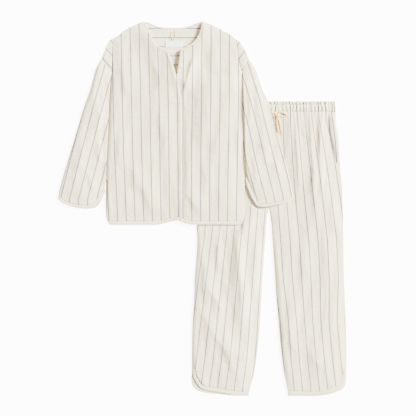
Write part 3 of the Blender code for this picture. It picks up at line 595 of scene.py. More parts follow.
def distance_to(points, start, end):
    """Distance of each point to the nearest of some straight runs."""
    run = end - start
    offset = points.reshape(-1, 2)[:, None, :] - start[None]
    share = np.clip((offset * run).sum(2) / (run * run).sum(1), 0, 1)
    return np.linalg.norm(offset - share[..., None] * run, axis=2).min(1).reshape(points.shape[:-1])


def distance_outside(points, outline):
    """Distance of each point outside a closed outline, zero inside it."""
    flat = points.reshape(-1, 2)
    start = np.asarray(outline, dtype=float)
    end = np.roll(start, -1, axis=0)
    run = end - start
    crosses = (start[None, :, 1] > flat[:, None, 1]) != (end[None, :, 1] > flat[:, None, 1])
    rise = np.where(np.abs(run[:, 1]) < 1e-9, 1e-9, run[:, 1])
    at = start[:, 0] + (flat[:, None, 1] - start[:, 1]) * run[:, 0] / rise
    inside = (crosses & (flat[:, None, 0] < at)).sum(1) % 2 == 1
    return np.where(inside.reshape(points.shape[:-1]), 0, distance_to(points, start, end))


def carried(points):
    """Height at which the top's lowest layer lies: on the surface, or on the trousers."""
    body = 1 - ease((distance_outside(points, TROUSER_OUTLINE) - CARRY_MARGIN) / CARRY_RAMP)
    waist = 1 - ease((distance_outside(points, GATHER_OUTLINE) - CARRY_MARGIN) / CARRY_RAMP)
    return TROUSERS_STACK * body + GATHER_STACK * waist


def along_and_beside(points, x1, y1, x2, y2):
    """Share of the way along a line from one point to another, and the distance to its left."""
    start = np.array([x1, y1], dtype=float)
    run = np.array([x2 - x1, y2 - y1], dtype=float)
    length = np.linalg.norm(run)
    return ((points - start) @ run) / length ** 2, ((points - start) @ np.array([-run[1], run[0]])) / length


def ridges(points, folds):
    """Height added by a table of folds, each a little crooked."""
    total = np.zeros(points.shape[:-1])
    for *line, half_width, height in folds:
        along, side = along_and_beside(points, *line)
        bend = side - half_width * 0.5 * np.sin(along * math.pi * 1.3)
        total += height * np.exp(-(bend / half_width) ** 2) * ease(along / 0.25) * ease((1 - along) / 0.25)
    return total


def gathers(points):
    """Height added by the gathers at the waist, uneven in width and depth."""
    x = points[..., 0]
    below = WAIST_SEAM - points[..., 1]
    fine = 1 - ease(below / WAVE_RUN)
    broad = 1 - ease(below / PLEAT_RUN)
    shifted = x + 2.6 * np.sin(x / 17) + 1.7 * np.sin(x / 7.3 + 2)
    shifted = shifted + 1.2 * np.sin(points[..., 1] / 9 + x / 21)
    depth = 0.62 + 0.38 * np.sin(x / 12.7 + 0.9 * np.sin(x / 33))
    wave = 0.5 + 0.5 * np.cos(2 * math.pi * shifted / WAVE_LENGTH)
    pleat = 0.5 + 0.5 * np.cos(2 * math.pi * (shifted + 0.04 * below) / PLEAT_LENGTH)
    return WAVE_HEIGHT * fine * wave * depth + PLEAT_HEIGHT * (1 - fine) * broad * pleat


def leg_puff(points, word):
    """How far a leg front stands up from its back: rounded at the side seam, the inseam and the hem."""
    x, y = points[..., 0], points[..., 1]
    side_rows, inseam_rows, hem_rows = {"left": (LEG_SIDE_LEFT, INSEAM_LEFT, LEG_HEM_LEFT),
                                        "right": (LEG_SIDE_RIGHT, INSEAM_RIGHT, LEG_HEM_RIGHT)}[word]
    side = np.abs(side_at(side_rows, y) - x)
    inseam = np.hypot(side_at(inseam_rows, y) - x, 0.7 * np.maximum(y - CROTCH, 0))
    hem = y - level_at(hem_rows, x)
    left, right = (side, inseam) if word == "left" else (inseam, side)
    ends = (0.3 + 0.7 * ease(hem / 95)) * ease((1010 - y) / 60)
    return LEG_RISE * curb(left / 17) * ease((right + 3) / 62) * ends


def creases(points, table):
    """Height added by creases that rise slowly on their right and fall steeply on their left."""
    total = np.zeros(points.shape[:-1])
    for *line, steep, soft, height in table:
        along, side = along_and_beside(points, *line)
        wander = side + 0.16 * steep * np.sin(along * 5.0 + line[0])
        wander = wander + 0.08 * steep * np.sin(along * 13.0 + line[1])
        fall = np.exp(-np.maximum(-wander, 0) / steep * 1.6 - (np.minimum(wander, 0) / steep) ** 2)
        rise = np.exp(-(np.maximum(wander, 0) / soft) ** 2)
        total += CREASE_DEPTH * height * fall * rise * ease(along / 0.3) * ease((1 - along) / 0.3)
    return total


def drift(points):
    """Slow unevenness of cloth that has been worn and smoothed by hand."""
    x, y = points[..., 0], points[..., 1]
    long = np.sin(x / 5.2 + 1.3 * np.sin(y / 83) + 0.8 * np.sin(x / 31))
    long = long * np.sin(y / 46 + 1.5 * np.sin(x / 19))
    slow = np.sin(x / 13 + 1.7 * np.sin(y / 91)) * np.sin(y / 57 + 1.1 * np.sin(x / 47))
    quick = np.sin(x / 6.1 + y / 21 + 2.0 * np.sin(y / 43)) * np.sin(y / 15 - x / 33)
    return DRIFT * (1.0 + 0.5 * long + slow) + 0.3 * DRIFT * (0.5 + 0.5 * quick)


def curb(share):
    """Round shoulder of a puffed edge: steep at 0, level at 1."""
    share = np.clip(share, 0, 1)
    return np.sqrt(share * (2 - share))


def side_at(rows, y):
    """Place of an edge table's line at given heights."""
    table = np.array(sorted(rows, key=lambda row: row[1]), dtype=float)
    return np.interp(y, table[:, 1], table[:, 0])


def level_at(rows, x):
    """Height of an edge table's line at given places across."""
    table = np.array(sorted(rows), dtype=float)
    return np.interp(x, table[:, 0], table[:, 1])


def front_puff(points):
    """How far the fronts stand up from the back: rounded at the outer edges, highest round the neck."""
    x, y = points[..., 0], points[..., 1]
    left = x - side_at(BODY_SIDE_LEFT + ARMHOLE_LEFT[1:], y)
    right = side_at(BODY_SIDE_RIGHT + ARMHOLE_RIGHT[1:], y) - x
    hem = y - level_at(HEM_BACK, x)
    shoulder = level_at(SHOULDER_LEFT + SHOULDER_RIGHT, x) - y
    full = 1.2 + 3.6 * ease((600 - y) / 110)
    climb = 0.6 * curb(left / 14) + 0.4 * ease(left / 46)
    rise = full * climb * ease((right + 3) / 60) * (0.12 + 0.88 * ease(hem / 90)) * curb(shoulder / 26)
    rolled = SIDE_ROLL * np.exp(-((left - 12) / 10) ** 2) * ease(left / 9)
    rolled = rolled * ease((hem - 6) / 70) * ease((540 - y) / 90)
    fade = ease((708 - y) / np.where(x > 30, 24, 70))
    neck = np.array(NECK_LINE, dtype=float)
    return rise + rolled + NECK_RISE * np.exp(-(distance_to(points, neck[:-1], neck[1:]) / 34) ** 2) * fade


def puckers(place, distance):
    """Short ripples beside a sewn edge: place is along the seam, distance away from it."""
    ripple = 0.5 + 0.5 * np.sin(place / 1.9 + 1.4 * np.sin(place / 13))
    return PUCKER * ripple * np.exp(-np.abs(distance) / 7.0)


# Pieces.
def add_shell(name, outer, inner, cloth_place, material):
    """One closed shell between two grids of points, with its cloth coordinates."""
    rows, columns = outer.shape[:2]
    points = np.vstack([outer.reshape(-1, 3), inner.reshape(-1, 3)]) * MM
    place = np.vstack([cloth_place.reshape(-1, 2)] * 2) * MM
    second = rows * columns
    grid = np.arange(second).reshape(rows, columns)
    a, b, c, d = (part.ravel() for part in (grid[:-1, :-1], grid[:-1, 1:], grid[1:, 1:], grid[1:, :-1]))
    faces = [np.stack([a, b, c, d], axis=1), np.stack([d, c, b, a], axis=1) + second]
    ring = np.concatenate([grid[0, :], grid[1:, -1], grid[-1, -2::-1], grid[-2:0:-1, 0]])
    after = np.roll(ring, -1)
    faces.append(np.stack([after, ring, ring + second, after + second], axis=1))
    faces = np.vstack(faces)
    item = finish_piece(f"{name}_cloth", points, faces, place, material)
    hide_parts(name)
    return item


def finish_piece(name, points, faces, place, material):
    """Make the mesh, turn it outwards, and hand it to the frame."""
    mesh = bpy.data.meshes.new(name)
    mesh.from_pydata(points.tolist(), [], faces.tolist() if hasattr(faces, "tolist") else faces)
    mesh.update()
    corners = np.zeros(len(mesh.loops), dtype=np.int32)
    mesh.loops.foreach_get("vertex_index", corners)
    layer = mesh.uv_layers.new(name="cloth")
    layer.data.foreach_set("uv", place[corners].astype(np.float32).ravel())
    mesh.calc_loop_triangles()
    triangles = np.zeros(len(mesh.loop_triangles) * 3, dtype=np.int32)
    mesh.loop_triangles.foreach_get("vertices", triangles)
    one, two, three = (points[triangles.reshape(-1, 3)[:, k]] for k in range(3))
    if np.einsum("ij,ij->i", one, np.cross(two, three)).sum() < 0:
        mesh.flip_normals()
    mesh.shade_smooth()
    mesh.materials.append(material)
    item = bpy.data.objects.new(name, mesh)
    bpy.context.scene.collection.objects.link(item)
    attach(item, "root")
    return item


def with_height(points, height):
    """Flat points and their heights as one grid."""
    return np.concatenate([points, height[..., None]], axis=2)


def flat_shell(name, points, zero, top, bottom, place, material):
    """A closed shell between two heights over the same flat points."""
    points = points + zero
    return add_shell(name, with_height(points, top), with_height(points, bottom), place, material)


def rounded(top, bottom):
    """Heights of a piece whose open edges are rounded instead of square."""
    top, bottom = top.copy(), bottom.copy()
    for border in (np.s_[0, :], np.s_[-1, :], np.s_[:, 0], np.s_[:, -1]):
        wall = top[border] - bottom[border]
        top[border] = top[border] - ROUNDING * np.minimum(wall, WALL)
        bottom[border] = bottom[border] + ROUNDING * np.minimum(wall, WALL)
    return top, bottom


def stripe_place(points, rows):
    """Cloth coordinates of points, from the course of one stripe down the piece."""
    rows = np.array(rows, dtype=float)
    line = np.interp(points[..., 1], rows[:, 0], rows[:, 1])
    pitch = np.interp(points[..., 1], rows[:, 0], rows[:, 2])
    return np.stack([(points[..., 0] - line) / pitch * PERIOD, points[..., 1]], axis=-1)


def slanted_place(points, origin, direction):
    """Cloth coordinates where the stripes run straight along a direction from an origin."""
    direction = np.array(direction, dtype=float) / np.linalg.norm(direction)
    offset = points - np.array(origin, dtype=float)
    normal = np.array([-direction[1], direction[0]])
    return np.stack([offset @ normal, offset @ direction], axis=-1)


def slack(points, level):
    """Cloth that a piece's steep sides take up beyond their width, counted outwards from its middle."""
    run = np.linalg.norm(np.diff(points, axis=1), axis=2)
    start = np.concatenate([np.zeros((len(run), 1)), np.cumsum(run, axis=1)], axis=1)
    from_edge = np.minimum(start[:, 1:], start[:, -1:] - start[:, :-1])
    extra = (np.hypot(run, np.diff(level, axis=1)) - run) * (from_edge < STEEP_SIDE)
    total = np.concatenate([np.zeros((len(run), 1)), np.cumsum(extra, axis=1)], axis=1)
    return (total - total[:, run.shape[1] // 2, None]) * np.sign(points[:, -1:, 0] - points[:, :1, 0])


def panel(name, edges, zero, height, material, place, steep=False):
    """A flat-lying piece of striped cloth whose underside is given by height(points, across, along)."""
    points = with_rims(patch(*edges))
    level = height(points, *grid_shares(points))
    top, bottom = rounded(level + WALL, level)
    spread = place(points)
    if steep:
        spread[..., 0] += slack(points, top)
    return flat_shell(name, points, zero, top, bottom, spread, material)


def strip(name, outer_line, inner_line, zero, height, material, rows=5):
    """A narrow band between two lines, a little raised along its middle."""
    share = np.linspace(0, 1, rows)[:, None, None]
    points = with_rims((1 - share) * outer_line[None] + share * inner_line[None])
    across, width = grid_shares(points)
    length = np.linalg.norm(np.diff(outer_line, axis=0), axis=1).sum()
    level = height(points, across, None)
    ripple = 0.22 * (0.5 + 0.5 * np.sin(across * length / 2.1 + 1.3 * np.sin(across * length / 17)))
    swell = (0.30 + ripple) * np.sin(width * math.pi)
    top, bottom = rounded(level + WALL + swell, level)
    place = np.stack([width * HEM_BAND, across * length], axis=-1)
    return flat_shell(name, points, zero, top, bottom, place, material)


def folded_shell(name, lower, upper, ground_low, top_level, zero, material, place_low, place_up):
    """A flattened tube: an under layer and an upper layer joined by a round fold at their last column."""
    turn, flatten = 5, 0.6
    draw = WALL - 0.7
    step = lower[:, -1] - lower[:, -2]
    away = step / np.linalg.norm(step, axis=1)[:, None]
    bottom, top = ground_low[:, -1], top_level[:, -1] + WALL
    middle, radius = 0.5 * (top + bottom), 0.5 * (top - bottom)
    outer_fold, inner_fold, fold_place = [], [], []
    for k in range(1, turn):
        angle = -math.pi / 2 + math.pi * k / turn
        reach = (math.cos(angle) * radius)[:, None] * away
        base = lower[:, -1] * (1 - k / turn) + upper[:, -1] * (k / turn)
        inner_reach = (math.cos(angle) * np.maximum(radius - WALL, 0.1))[:, None] * away
        pulled = base - away * draw
        outer_fold.append(with_height((base + reach * flatten)[:, None],
                                      (middle + math.sin(angle) * radius)[:, None]))
        inner_fold.append(with_height((pulled + inner_reach * flatten)[:, None],
                                      (middle + math.sin(angle) * np.maximum(radius - WALL, 0.1))[:, None]))
        fold_place.append((place_low[:, -1] * (1 - k / turn) + place_up[:, -1] * (k / turn))[:, None])
    drawn_low, drawn_up = lower.copy(), upper.copy()
    for grid in (drawn_low, drawn_up):
        grid[:, -1] = grid[:, -1] - away * draw
    outer = np.concatenate([with_height(lower, ground_low)] + outer_fold
                           + [with_height(upper, top_level + WALL)[:, ::-1]], axis=1)
    inner = np.concatenate([with_height(drawn_low, ground_low + WALL)] + inner_fold
                           + [with_height(drawn_up, top_level)[:, ::-1]], axis=1)
    place = np.concatenate([place_low] + fold_place + [place_up[:, ::-1]], axis=1)
    shift = np.array([zero[0], zero[1], 0])
    return add_shell(name, outer + shift, inner + shift, place, material)


def garment_tube(name, lower, upper, zero, material, place, puff, creased=False):
    """A sleeve, cap or cuff band of the top, as an under and an upper layer."""
    lower, upper = with_rims(lower, (1,)), with_rims(upper, (1,))
    across = grid_shares(lower)[0]
    ground_low = carried(lower + zero)
    ground_up = carried(upper + zero)
    rise = LAYER + 0.5 * np.minimum(1, (1 - across) / 0.2) + 0.5 * ease(across / 0.2)
    rise = rise - 0.5 * (1 - ease(across / 0.03)) + 0.4 * ease((across - 0.97) / 0.03)
    width = np.linalg.norm(upper[:, -1] - upper[:, 0], axis=1)[:, None]
    step = np.linalg.norm(np.diff(upper, axis=0), axis=2)
    start = np.concatenate([np.zeros((1, upper.shape[1])), np.cumsum(step, axis=0)])
    ends = 1.0
    if creased:
        ends = (0.4 + 0.6 * ease(start / 60)) * (0.4 + 0.6 * ease((start[-1] - start) / 40))
    full = puff * np.minimum(1, width / 70)
    inner, outer = across * width, (1 - across) * width
    on_right = upper[0, 0, 0] > 0
    left, right = (inner, outer) if on_right else (outer, inner)
    slow = np.minimum(90, 0.7 * width)
    shift = 4 if on_right else -12
    top_level = ground_up + rise + full * curb(left / 12) * ease((right + shift) / slow) * ends
    if creased and on_right:
        top_level = top_level + 0.9 * np.exp(-((left - 8) / 8) ** 2) * ease(left / 5) * ends
    elif creased:
        climbing = ease(start / 20) * ease((360 - start) / 220)
        top_level = top_level + 2.4 * np.exp(-(right / 13) ** 2) * climbing
    if creased:
        inside = ease(across / 0.12) * ease((1 - across) / 0.15)
        inside = inside * ease(start / 30) * ease((start[-1] - start) / 30)
        folded = TOP_FOLD_SHARE * ridges(upper, SLEEVE_FOLDS) + creases(upper, SLEEVE_CREASES) + drift(upper)
        top_level = top_level + folded * inside
    top_level[:, 0] -= 0.2
    place_up = place(upper)
    place_low = place(lower).copy()
    if creased:
        place_up[..., 0] += slack(upper, top_level)
    fold_length = 0.5 * math.pi * (top_level[:, -1:] + WALL - ground_low[:, -1:])
    outwards = np.sign(place_up[:, -1:, 0] - place_up[:, :1, 0])
    place_low[..., 0] = 2 * place_up[:, -1:, 0] - place_low[..., 0] + outwards * fold_length
    return folded_shell(name, lower, upper, ground_low, top_level, zero, material, place_low, place_up)


# The stitches of each garment, gathered until it is sewn, and the sections of one stitch.
STITCHES = {"top": [], "trousers": []}
# (share of its length, half width, height of an end)
STITCH_SECTIONS = ((-0.5, 0.0, -0.1), (-0.3, 0.24, 0.0), (0.3, 0.24, 0.0), (0.5, 0.0, -0.1))


def stitch_line(garment, line, zero, height, length=2.1, pitch=2.9):
    """A row of stitches along a line that lies on a surface given by height(points)."""
    line = np.asarray(line, dtype=float)
    total = np.linalg.norm(np.diff(line, axis=0), axis=1).sum()
    centres = at_shares(line, max(2, int(total / pitch)))
    level = height(centres[None])[0]
    slope = np.gradient(level) / pitch
    for centre, way, base, climb in zip(centres, directions(centres), level, slope):
        STITCHES[garment].append((centre + zero, way, base, climb, length))


def sew(garment, material):
    """All the stitches of a garment as one mesh of small spindles of thread."""
    points, faces, place = [], [], []
    for centre, way, base, climb, length in STITCHES[garment]:
        side = np.array([-way[1], way[0]])
        first = len(points)
        for share, half, lift in STITCH_SECTIONS:
            at = centre + way * length * share
            rest = base + climb * length * share
            if half == 0.0:
                points.append((at[0], at[1], rest + lift))
            else:
                points.append((*(at + side * half), rest))
                points.append((at[0], at[1], rest + 0.30))
                points.append((*(at - side * half), rest))
                points.append((at[0], at[1], rest - 0.25))
        near, far = first, first + 9
        for k in range(4):
            a, b = first + 1 + k, first + 1 + (k + 1) % 4
            faces.append((near, b, a))
            faces.append((a, b, b + 4, a + 4))
            faces.append((far, a + 4, b + 4))
        place.extend([(0.0, 0.0)] * 10)
    points = np.array(points) * MM
    finish_piece(f"stitches_{garment}", points, faces, np.array(place), material)


# The top.
def top_height(base, creased=False, lap=None, rising=None, fold_limit=None, front=False):
    """Height of a layer of the top that follows what it lies on."""
    def height(points, across, along):
        level = carried(points + TOP_ZERO) + base
        if rising is not None:
            level = level + rising(across)
        if lap is not None:
            level = level + lap(points)
        if front:
            level = level + front_puff(points)
        if creased:
            allowed = fold_limit(points) if fold_limit else 1.0
            folded = TOP_FOLD_SHARE * ridges(points, TOP_FOLDS)
            folded = folded + TOP_CREASE_SHARE * creases(points, TOP_CREASES)
            folded = folded + drift(points)
            level = level + folded * ease(along / 0.10) * ease((1 - along) / 0.06) * allowed
            level = level + puckers(points[..., 0], points[..., 1] - HEM_BAND)
        return level
    return height


def edge_height(base, lap, lift, front=False):
    """Height of the upper side of a band of the top, for stitches."""
    def height(points):
        level = carried(points + TOP_ZERO) + base + WALL + lift + BAND_SWELL
        if front:
            level = level + front_puff(points)
        return level + lap(points) if lap else level
    return height


def turned_back(from_edge):
    """The turned-back edge of the opening lies a little higher than the panel beside it."""
    return 0.9 * (1 - ease((from_edge - 9) / 4))


def beyond_lap(points):
    """Share of a fold that the under front may have: none where the left front lies over it."""
    x, y = points[..., 0], points[..., 1]
    return ease((x - 14) / 14) * ease((x - 27 + 60 * ease((y - 400) / 60)) / 14)


def lap_rise(points):
    """The left front climbs onto the right front near the closing."""
    return (LAYER + 0.4) * ease((points[..., 0] + 52) / 30)


def button_bumps(points):
    """The concealed buttons show as faint round rises on the left front."""
    total = np.zeros(points.shape[:-1])
    for x, y in BUTTONS:
        apart = np.hypot(points[..., 0] - x, points[..., 1] - y)
        total += BUTTON_RISE * np.exp(-(apart / BUTTON_RADIUS) ** 4)
    return total


def under_lift(across):
    """The right front comes down onto the back only at its side seam."""
    return 0.6 * ease((1 - across) / 0.15)


def beside_lap(points):
    """The right front swells up beside the edge that lies over it."""
    beyond = points[..., 0] - side_at(EDGE_OVER, points[..., 1])
    tall = ease((450 - points[..., 1]) / 60) * ease((points[..., 1] - 20) / 20)
    return 0.6 * ease((beyond - 0.6) / 5) * ease((60 - beyond) / 48) * tall


def side_lift(across):
    """The left front comes down onto the back only at its side seam."""
    return 0.7 * ease(across / 0.15)


def shoulder_to(rows, end, count):
    """Shoulder line from the armhole to a point beside the neck."""
    return smooth_line([row for row in rows if abs(row[0]) > abs(end[0]) + 4] + [end], count)


def build_front(word, cloth, band, corners, shoulder, side, height, lap, rising, lift):
    """One front, its hem band and neck band, and their stitches; the corners are those of the opening."""
    sign, hem_rows, neck_rows, opening_rows = {
        "left": (1, HEM_LEFT, NECK_FRONT_LEFT, EDGE_OVER),
        "right": (-1, HEM_RIGHT, NECK_FRONT_RIGHT, EDGE_UNDER),
    }[word]
    low, high = corners
    hem = smooth_line(hem_rows, TOP_COLUMNS)
    seam = with_ends(inset(hem, HEM_BAND + SEAM), *((side[0], low) if word == "left" else (low, side[0])))
    neck = smooth_line(neck_rows, TOP_COLUMNS - SHOULDER_COLUMNS)
    neck_seam = with_ends(inset(neck, -sign * (NECK_BAND + SEAM)), shoulder[-1], high)
    upper = joined(shoulder, neck_seam)
    opening = smooth_line([low] + above(opening_rows[:-1], 100) + [high], SIDE_ROWS + ARMHOLE_ROWS)
    edges = (seam, upper, side, opening) if word == "left" else (seam, upper[::-1], opening, side)
    name = f"top_front_{word}"
    item = panel(name, edges, TOP_ZERO, height, cloth,
                 lambda points: stripe_place(points, GRAIN[name]), True)
    hem_item = strip(f"hem_band_{word}", hem, inset(seam, -SEAM), TOP_ZERO,
                     top_height(LAYER, lap=lap, rising=rising, front=True), band)
    neck_item = strip(f"neck_band_{word}", neck, inset(neck_seam, sign * SEAM), TOP_ZERO,
                      top_height(LAYER, lap=lap, front=True), band)
    stitch_line("top", inset(seam, -2.0)[1:-1], TOP_ZERO, edge_height(LAYER, lap, lift, True))
    stitch_line("top", inset(neck_seam, sign * 1.6)[1:-1], TOP_ZERO, edge_height(LAYER, lap, 0.0, True))
    return item, [hem_item, neck_item]


def build_back(cloth, band, side_left, side_right, armhole_left, armhole_right):
    """The back panel and the yoke above it, with their bands."""
    half_seam = np.array([0, SEAM / 2])
    hem = smooth_line(HEM_BACK, TOP_COLUMNS)
    yoke_seam = smooth_line(YOKE_SEAM, TOP_COLUMNS)
    low_left, low_right = side_left.copy(), side_right.copy()
    low_left[-1] -= half_seam
    low_right[-1] -= half_seam
    seam = with_ends(inset(hem, HEM_BAND + SEAM), side_left[0], side_right[0])
    back = panel("top_back", (seam, yoke_seam - half_seam, low_left, low_right), TOP_ZERO, top_height(0.0),
                 cloth, lambda points: stripe_place(points, GRAIN["top_back"]))
    hem_back = strip("hem_band_back", hem, inset(seam, -SEAM), TOP_ZERO, top_height(0.0), band, rows=3)
    neck = smooth_line(NECK_BACK, 30)
    shoulder_left = shoulder_to(SHOULDER_LEFT, (-116, 698.2), 15)
    shoulder_right = shoulder_to(SHOULDER_RIGHT, (104, 699.4), 15)
    neck_seam = with_ends(inset(neck, -(NECK_BAND + SEAM)), shoulder_left[-1], shoulder_right[-1])
    high_left, high_right = armhole_left.copy(), armhole_right.copy()
    high_left[0] += half_seam
    high_right[0] += half_seam
    upper = joined(shoulder_left, neck_seam, shoulder_right[::-1])
    yoke = panel("top_back_yoke", (yoke_seam + half_seam, upper, high_left, high_right), TOP_ZERO,
                 top_height(0.0), cloth, lambda points: slanted_place(points, (0, 677), (1, 0)))
    neck_back = strip("neck_band_back", neck, inset(neck_seam, SEAM), TOP_ZERO, top_height(0.0), band,
                      rows=3)
    stitch_line("top", inset(neck_seam, 1.6)[1:-1], TOP_ZERO, edge_height(0.0, None, 0.0))


def build_top(cloth, band, label, thread):
    """All pieces of the top. The left front laps over the right one."""
    side_left = smooth_line([(-233.5, 13.5)] + above(BODY_SIDE_LEFT, 20), SIDE_ROWS)
    side_right = smooth_line([(233.5, 13.5)] + above(BODY_SIDE_RIGHT, 20), SIDE_ROWS)
    armhole_left = smooth_line(ARMHOLE_LEFT, ARMHOLE_ROWS)
    armhole_right = smooth_line(ARMHOLE_RIGHT, ARMHOLE_ROWS)
    over = top_height(LAYER, True, lap_rise, side_lift, front=True)
    under = top_height(LAYER, True, beside_lap, under_lift, beyond_lap, True)

    def over_with_buttons(points, across, along):
        edge = turned_back(side_at(EDGE_OVER, points[..., 1]) - points[..., 0])
        return over(points, across, along) + button_bumps(points) + edge * ease((1 - along) / 0.02)

    left, bands = build_front("left", cloth, band, ((25, 21.5), (-25.2, 594.6)),
                              shoulder_to(SHOULDER_LEFT, (-112.5, 699.3), SHOULDER_COLUMNS),
                              joined(side_left, armhole_left), over_with_buttons, lap_rise, side_lift, 0.7)
    right, bands = build_front("right", cloth, band, ((0, 27.0), (18.0, 596.6)),
                               shoulder_to(SHOULDER_RIGHT, (101.3, 700.4), SHOULDER_COLUMNS),
                               joined(side_right, armhole_right), under, None, under_lift, 0.6)
    build_back(cloth, band, side_left, side_right, armhole_left, armhole_right)
    build_sleeves(cloth, band, armhole_left, armhole_right)
    build_neck_trim(label, band)
    sew("top", thread)


def outer_point(line, distance):
    """The point of a line that lies a distance before its end."""
    lengths = lengths_along(line)
    return np.array([np.interp(lengths[-1] - distance, lengths, line[:, k]) for k in range(2)])


def build_sleeves(cloth, band, armhole_left, armhole_right):
    """Both caps, both sleeves and their cuff bands."""
    sides = {
        "left": (-1, armhole_left, CAP_SEAM_LEFT, CAP_FOLD_LEFT, SLEEVE_INNER_LEFT, SLEEVE_FOLD_LEFT,
                 CUFF_LEFT, CUFF_LEFT_UNDER, ((-237.7, 607.5), (22, -24))),
        "right": (1, armhole_right, CAP_SEAM_RIGHT, CAP_FOLD_RIGHT, SLEEVE_INNER_RIGHT, SLEEVE_FOLD_RIGHT,
                  CUFF_RIGHT, CUFF_RIGHT_UNDER, ((229, 583.5), (21.5, 30.0))),
    }
    for word, parts in sides.items():
        sign, armhole, seam_rows, fold_rows, inner_rows, outer_rows, cuff_rows, under_rows, slant = parts
        across = 12
        seam = smooth_line(seam_rows, across)
        inner = armhole - np.array([sign * TUCK, 0.0])
        start = seam + np.array([-sign * SEAM, SEAM])
        inner[0] = start[0]
        fold = smooth_line(fold_rows, len(armhole) - 1)
        fold[0] = start[-1]
        fold[-1] = inner[-1] + np.array([sign * 3.2, -0.8])
        end = np.linspace(inner[-1], fold[-1], across + 1)
        points = patch(start, end, inner, fold)
        cap = garment_tube(f"sleeve_cap_{word}", points, points, TOP_ZERO, cloth,
                           lambda grid, slant=slant: slanted_place(grid, *slant), CAP_RISE)

        across, rows = 40, 130
        seam = smooth_line(seam_rows, across)
        body_side = smooth_line(BODY_SIDE_LEFT if word == "left" else BODY_SIDE_RIGHT, 300)
        outer = smooth_line(outer_rows, rows)
        grids = []
        bands = []
        for cuff_table in (under_rows, cuff_rows):
            cuff = smooth_line(cuff_table, across)
            turn = with_ends(inset(cuff, sign * (CUFF_BAND + SEAM)),
                             cuff[0] + np.array([sign * 1.6, CUFF_BAND + SEAM]),
                             outer_point(outer, CUFF_BAND + SEAM))
            inner_edge = smooth_line(above(inner_rows, turn[0][1] + 6) + [tuple(turn[0])], rows)[::-1]
            beside = side_at(body_side.tolist(), inner_edge[:, 1]) - sign * TUCK
            blend = ease(np.linspace(0, 12, rows + 1)) * ease(np.linspace(16, 0, rows + 1))
            inner_edge[:, 0] += (beside - inner_edge[:, 0]) * blend
            outer_edge = smooth_line([tuple(turn[-1])] + above(outer_rows[::-1], 110), rows)
            grids.append(patch(turn, seam, inner_edge, outer_edge))
            band_edge = inset(turn, -sign * SEAM)
            width = np.linspace(0, 1, 5)[:, None, None]
            bands.append((1 - width) * cuff[None] + width * band_edge[None])
        grain = GRAIN[f"sleeve_{word}"]
        sleeve = garment_tube(f"sleeve_{word}", grids[0], grids[1], TOP_ZERO, cloth,
                              lambda grid, grain=grain: stripe_place(grid, grain), SLEEVE_RISE, True)
        cuff_band = garment_tube(f"cuff_band_{word}", bands[0], bands[1], TOP_ZERO, band,
                                 lambda grid: grid, CUFF_RISE)
        stitch_line("top", inset(grids[1][0], -sign * 1.8)[3:-3], TOP_ZERO, edge_height(LAYER, None, 1.3))


def build_neck_trim(label, band):
    """Hanger loop and blank label inside the back neck."""
    across, up = np.linspace(*LABEL_SIDES, 24), np.linspace(*LABEL_EDGES, 12)
    points = with_rims(np.stack(np.meshgrid(across, up), axis=2))
    low = np.full(points.shape[:2], LAYER) + 0.25 * np.sin(points[..., 0] / 14) ** 2
    top, bottom = rounded(low + 0.8, low)
    item = flat_shell("neck_label", points, TOP_ZERO, top, bottom, points, label)
    for x in (LABEL_SIDES[0] + 1.2, LABEL_SIDES[1] - 1.2):
        stitch_line("top", [(x, LABEL_EDGES[0] + 1), (x, LABEL_EDGES[1] - 1)], TOP_ZERO,
                    lambda grid: np.full(grid.shape[:-1], LAYER + 0.95), 1.6, 2.1)
    loop = smooth_line(LOOP, 60)
    side = to_the_left(directions(loop[:, :2]))
    rows, places = [], []
    for share in (-1.3, -1.0, -0.5, 0.0, 0.5, 1.0, 1.3):
        moved = loop.copy()
        moved[:, :2] += side * share * 1.1 + TOP_ZERO
        rows.append(moved)
        places.append(np.stack([np.full(61, share), np.linspace(0, 75, 61)], axis=1))
    under = np.stack(rows)
    upper = under.copy()
    upper[..., 2] += 1.0
    upper[[0, -1], :, 2] -= 0.3
    item = add_shell("hanger_loop", upper, under, np.stack(places), band)


# The trousers.
def trouser_front(points, across, word):
    """Underside of a front layer of the trousers; flatter where the top lies on it."""
    shared = points + TROUSERS_ZERO
    away = distance_outside(shared, TOP_OUTLINE)
    covered = 1 - ease((away - 4) / 42)
    pressed = 1 - ease((away - 2) / 16)
    inside = ease(across / 0.06) * ease((1 - across) / 0.06) * ease((points[..., 1] - 16) / 30)
    loose = TROUSER_FOLD_SHARE * ridges(points, TROUSER_FOLDS) + creases(points, TROUSER_CREASES)
    loose = (loose + drift(points)) * inside
    puff = leg_puff(points, word) * (1 - 0.65 * covered)
    return LAYER + gathers(points) + puff + loose * (1 - 0.85 * pressed)


def flat_layer(points, across, along):
    """A layer that lies on the surface."""
    return np.zeros(points.shape[:-1])


def mouth_lift(pocket, word):
    """The front stands up a little over the pocket facing near its mouth."""
    def height(points, across, along):
        near = 1 - ease(np.abs(points[..., 0] - side_at(pocket, points[..., 1])) / 30 - 0.7)
        tall = ease((points[..., 1] - 730) / 50)
        raised = (2 * LAYER + 0.2) * near * tall
        return np.maximum(trouser_front(points, across, word), raised)
    return height


def facing_level(pocket, word):
    """The facing sinks beside the pocket mouth and swells towards the side seam."""
    def height(points, across, along):
        x, y = points[..., 0], points[..., 1]
        beyond = (x - side_at(pocket, y)) * (1 if word == "right" else -1)
        side = np.abs(side_at(LEG_SIDE_RIGHT if word == "right" else LEG_SIDE_LEFT, y) - x)
        swell = 5.6 * curb((beyond - 1) / 9) * curb(side / 9) * ease((980 - y) / 25)
        return LAYER + swell * (0.35 + 0.65 * ease((y - 805) / 75))
    return height


def leg_band_level(word):
    """Underside of a front leg band."""
    return lambda points, across, along: LAYER + leg_puff(points, word)


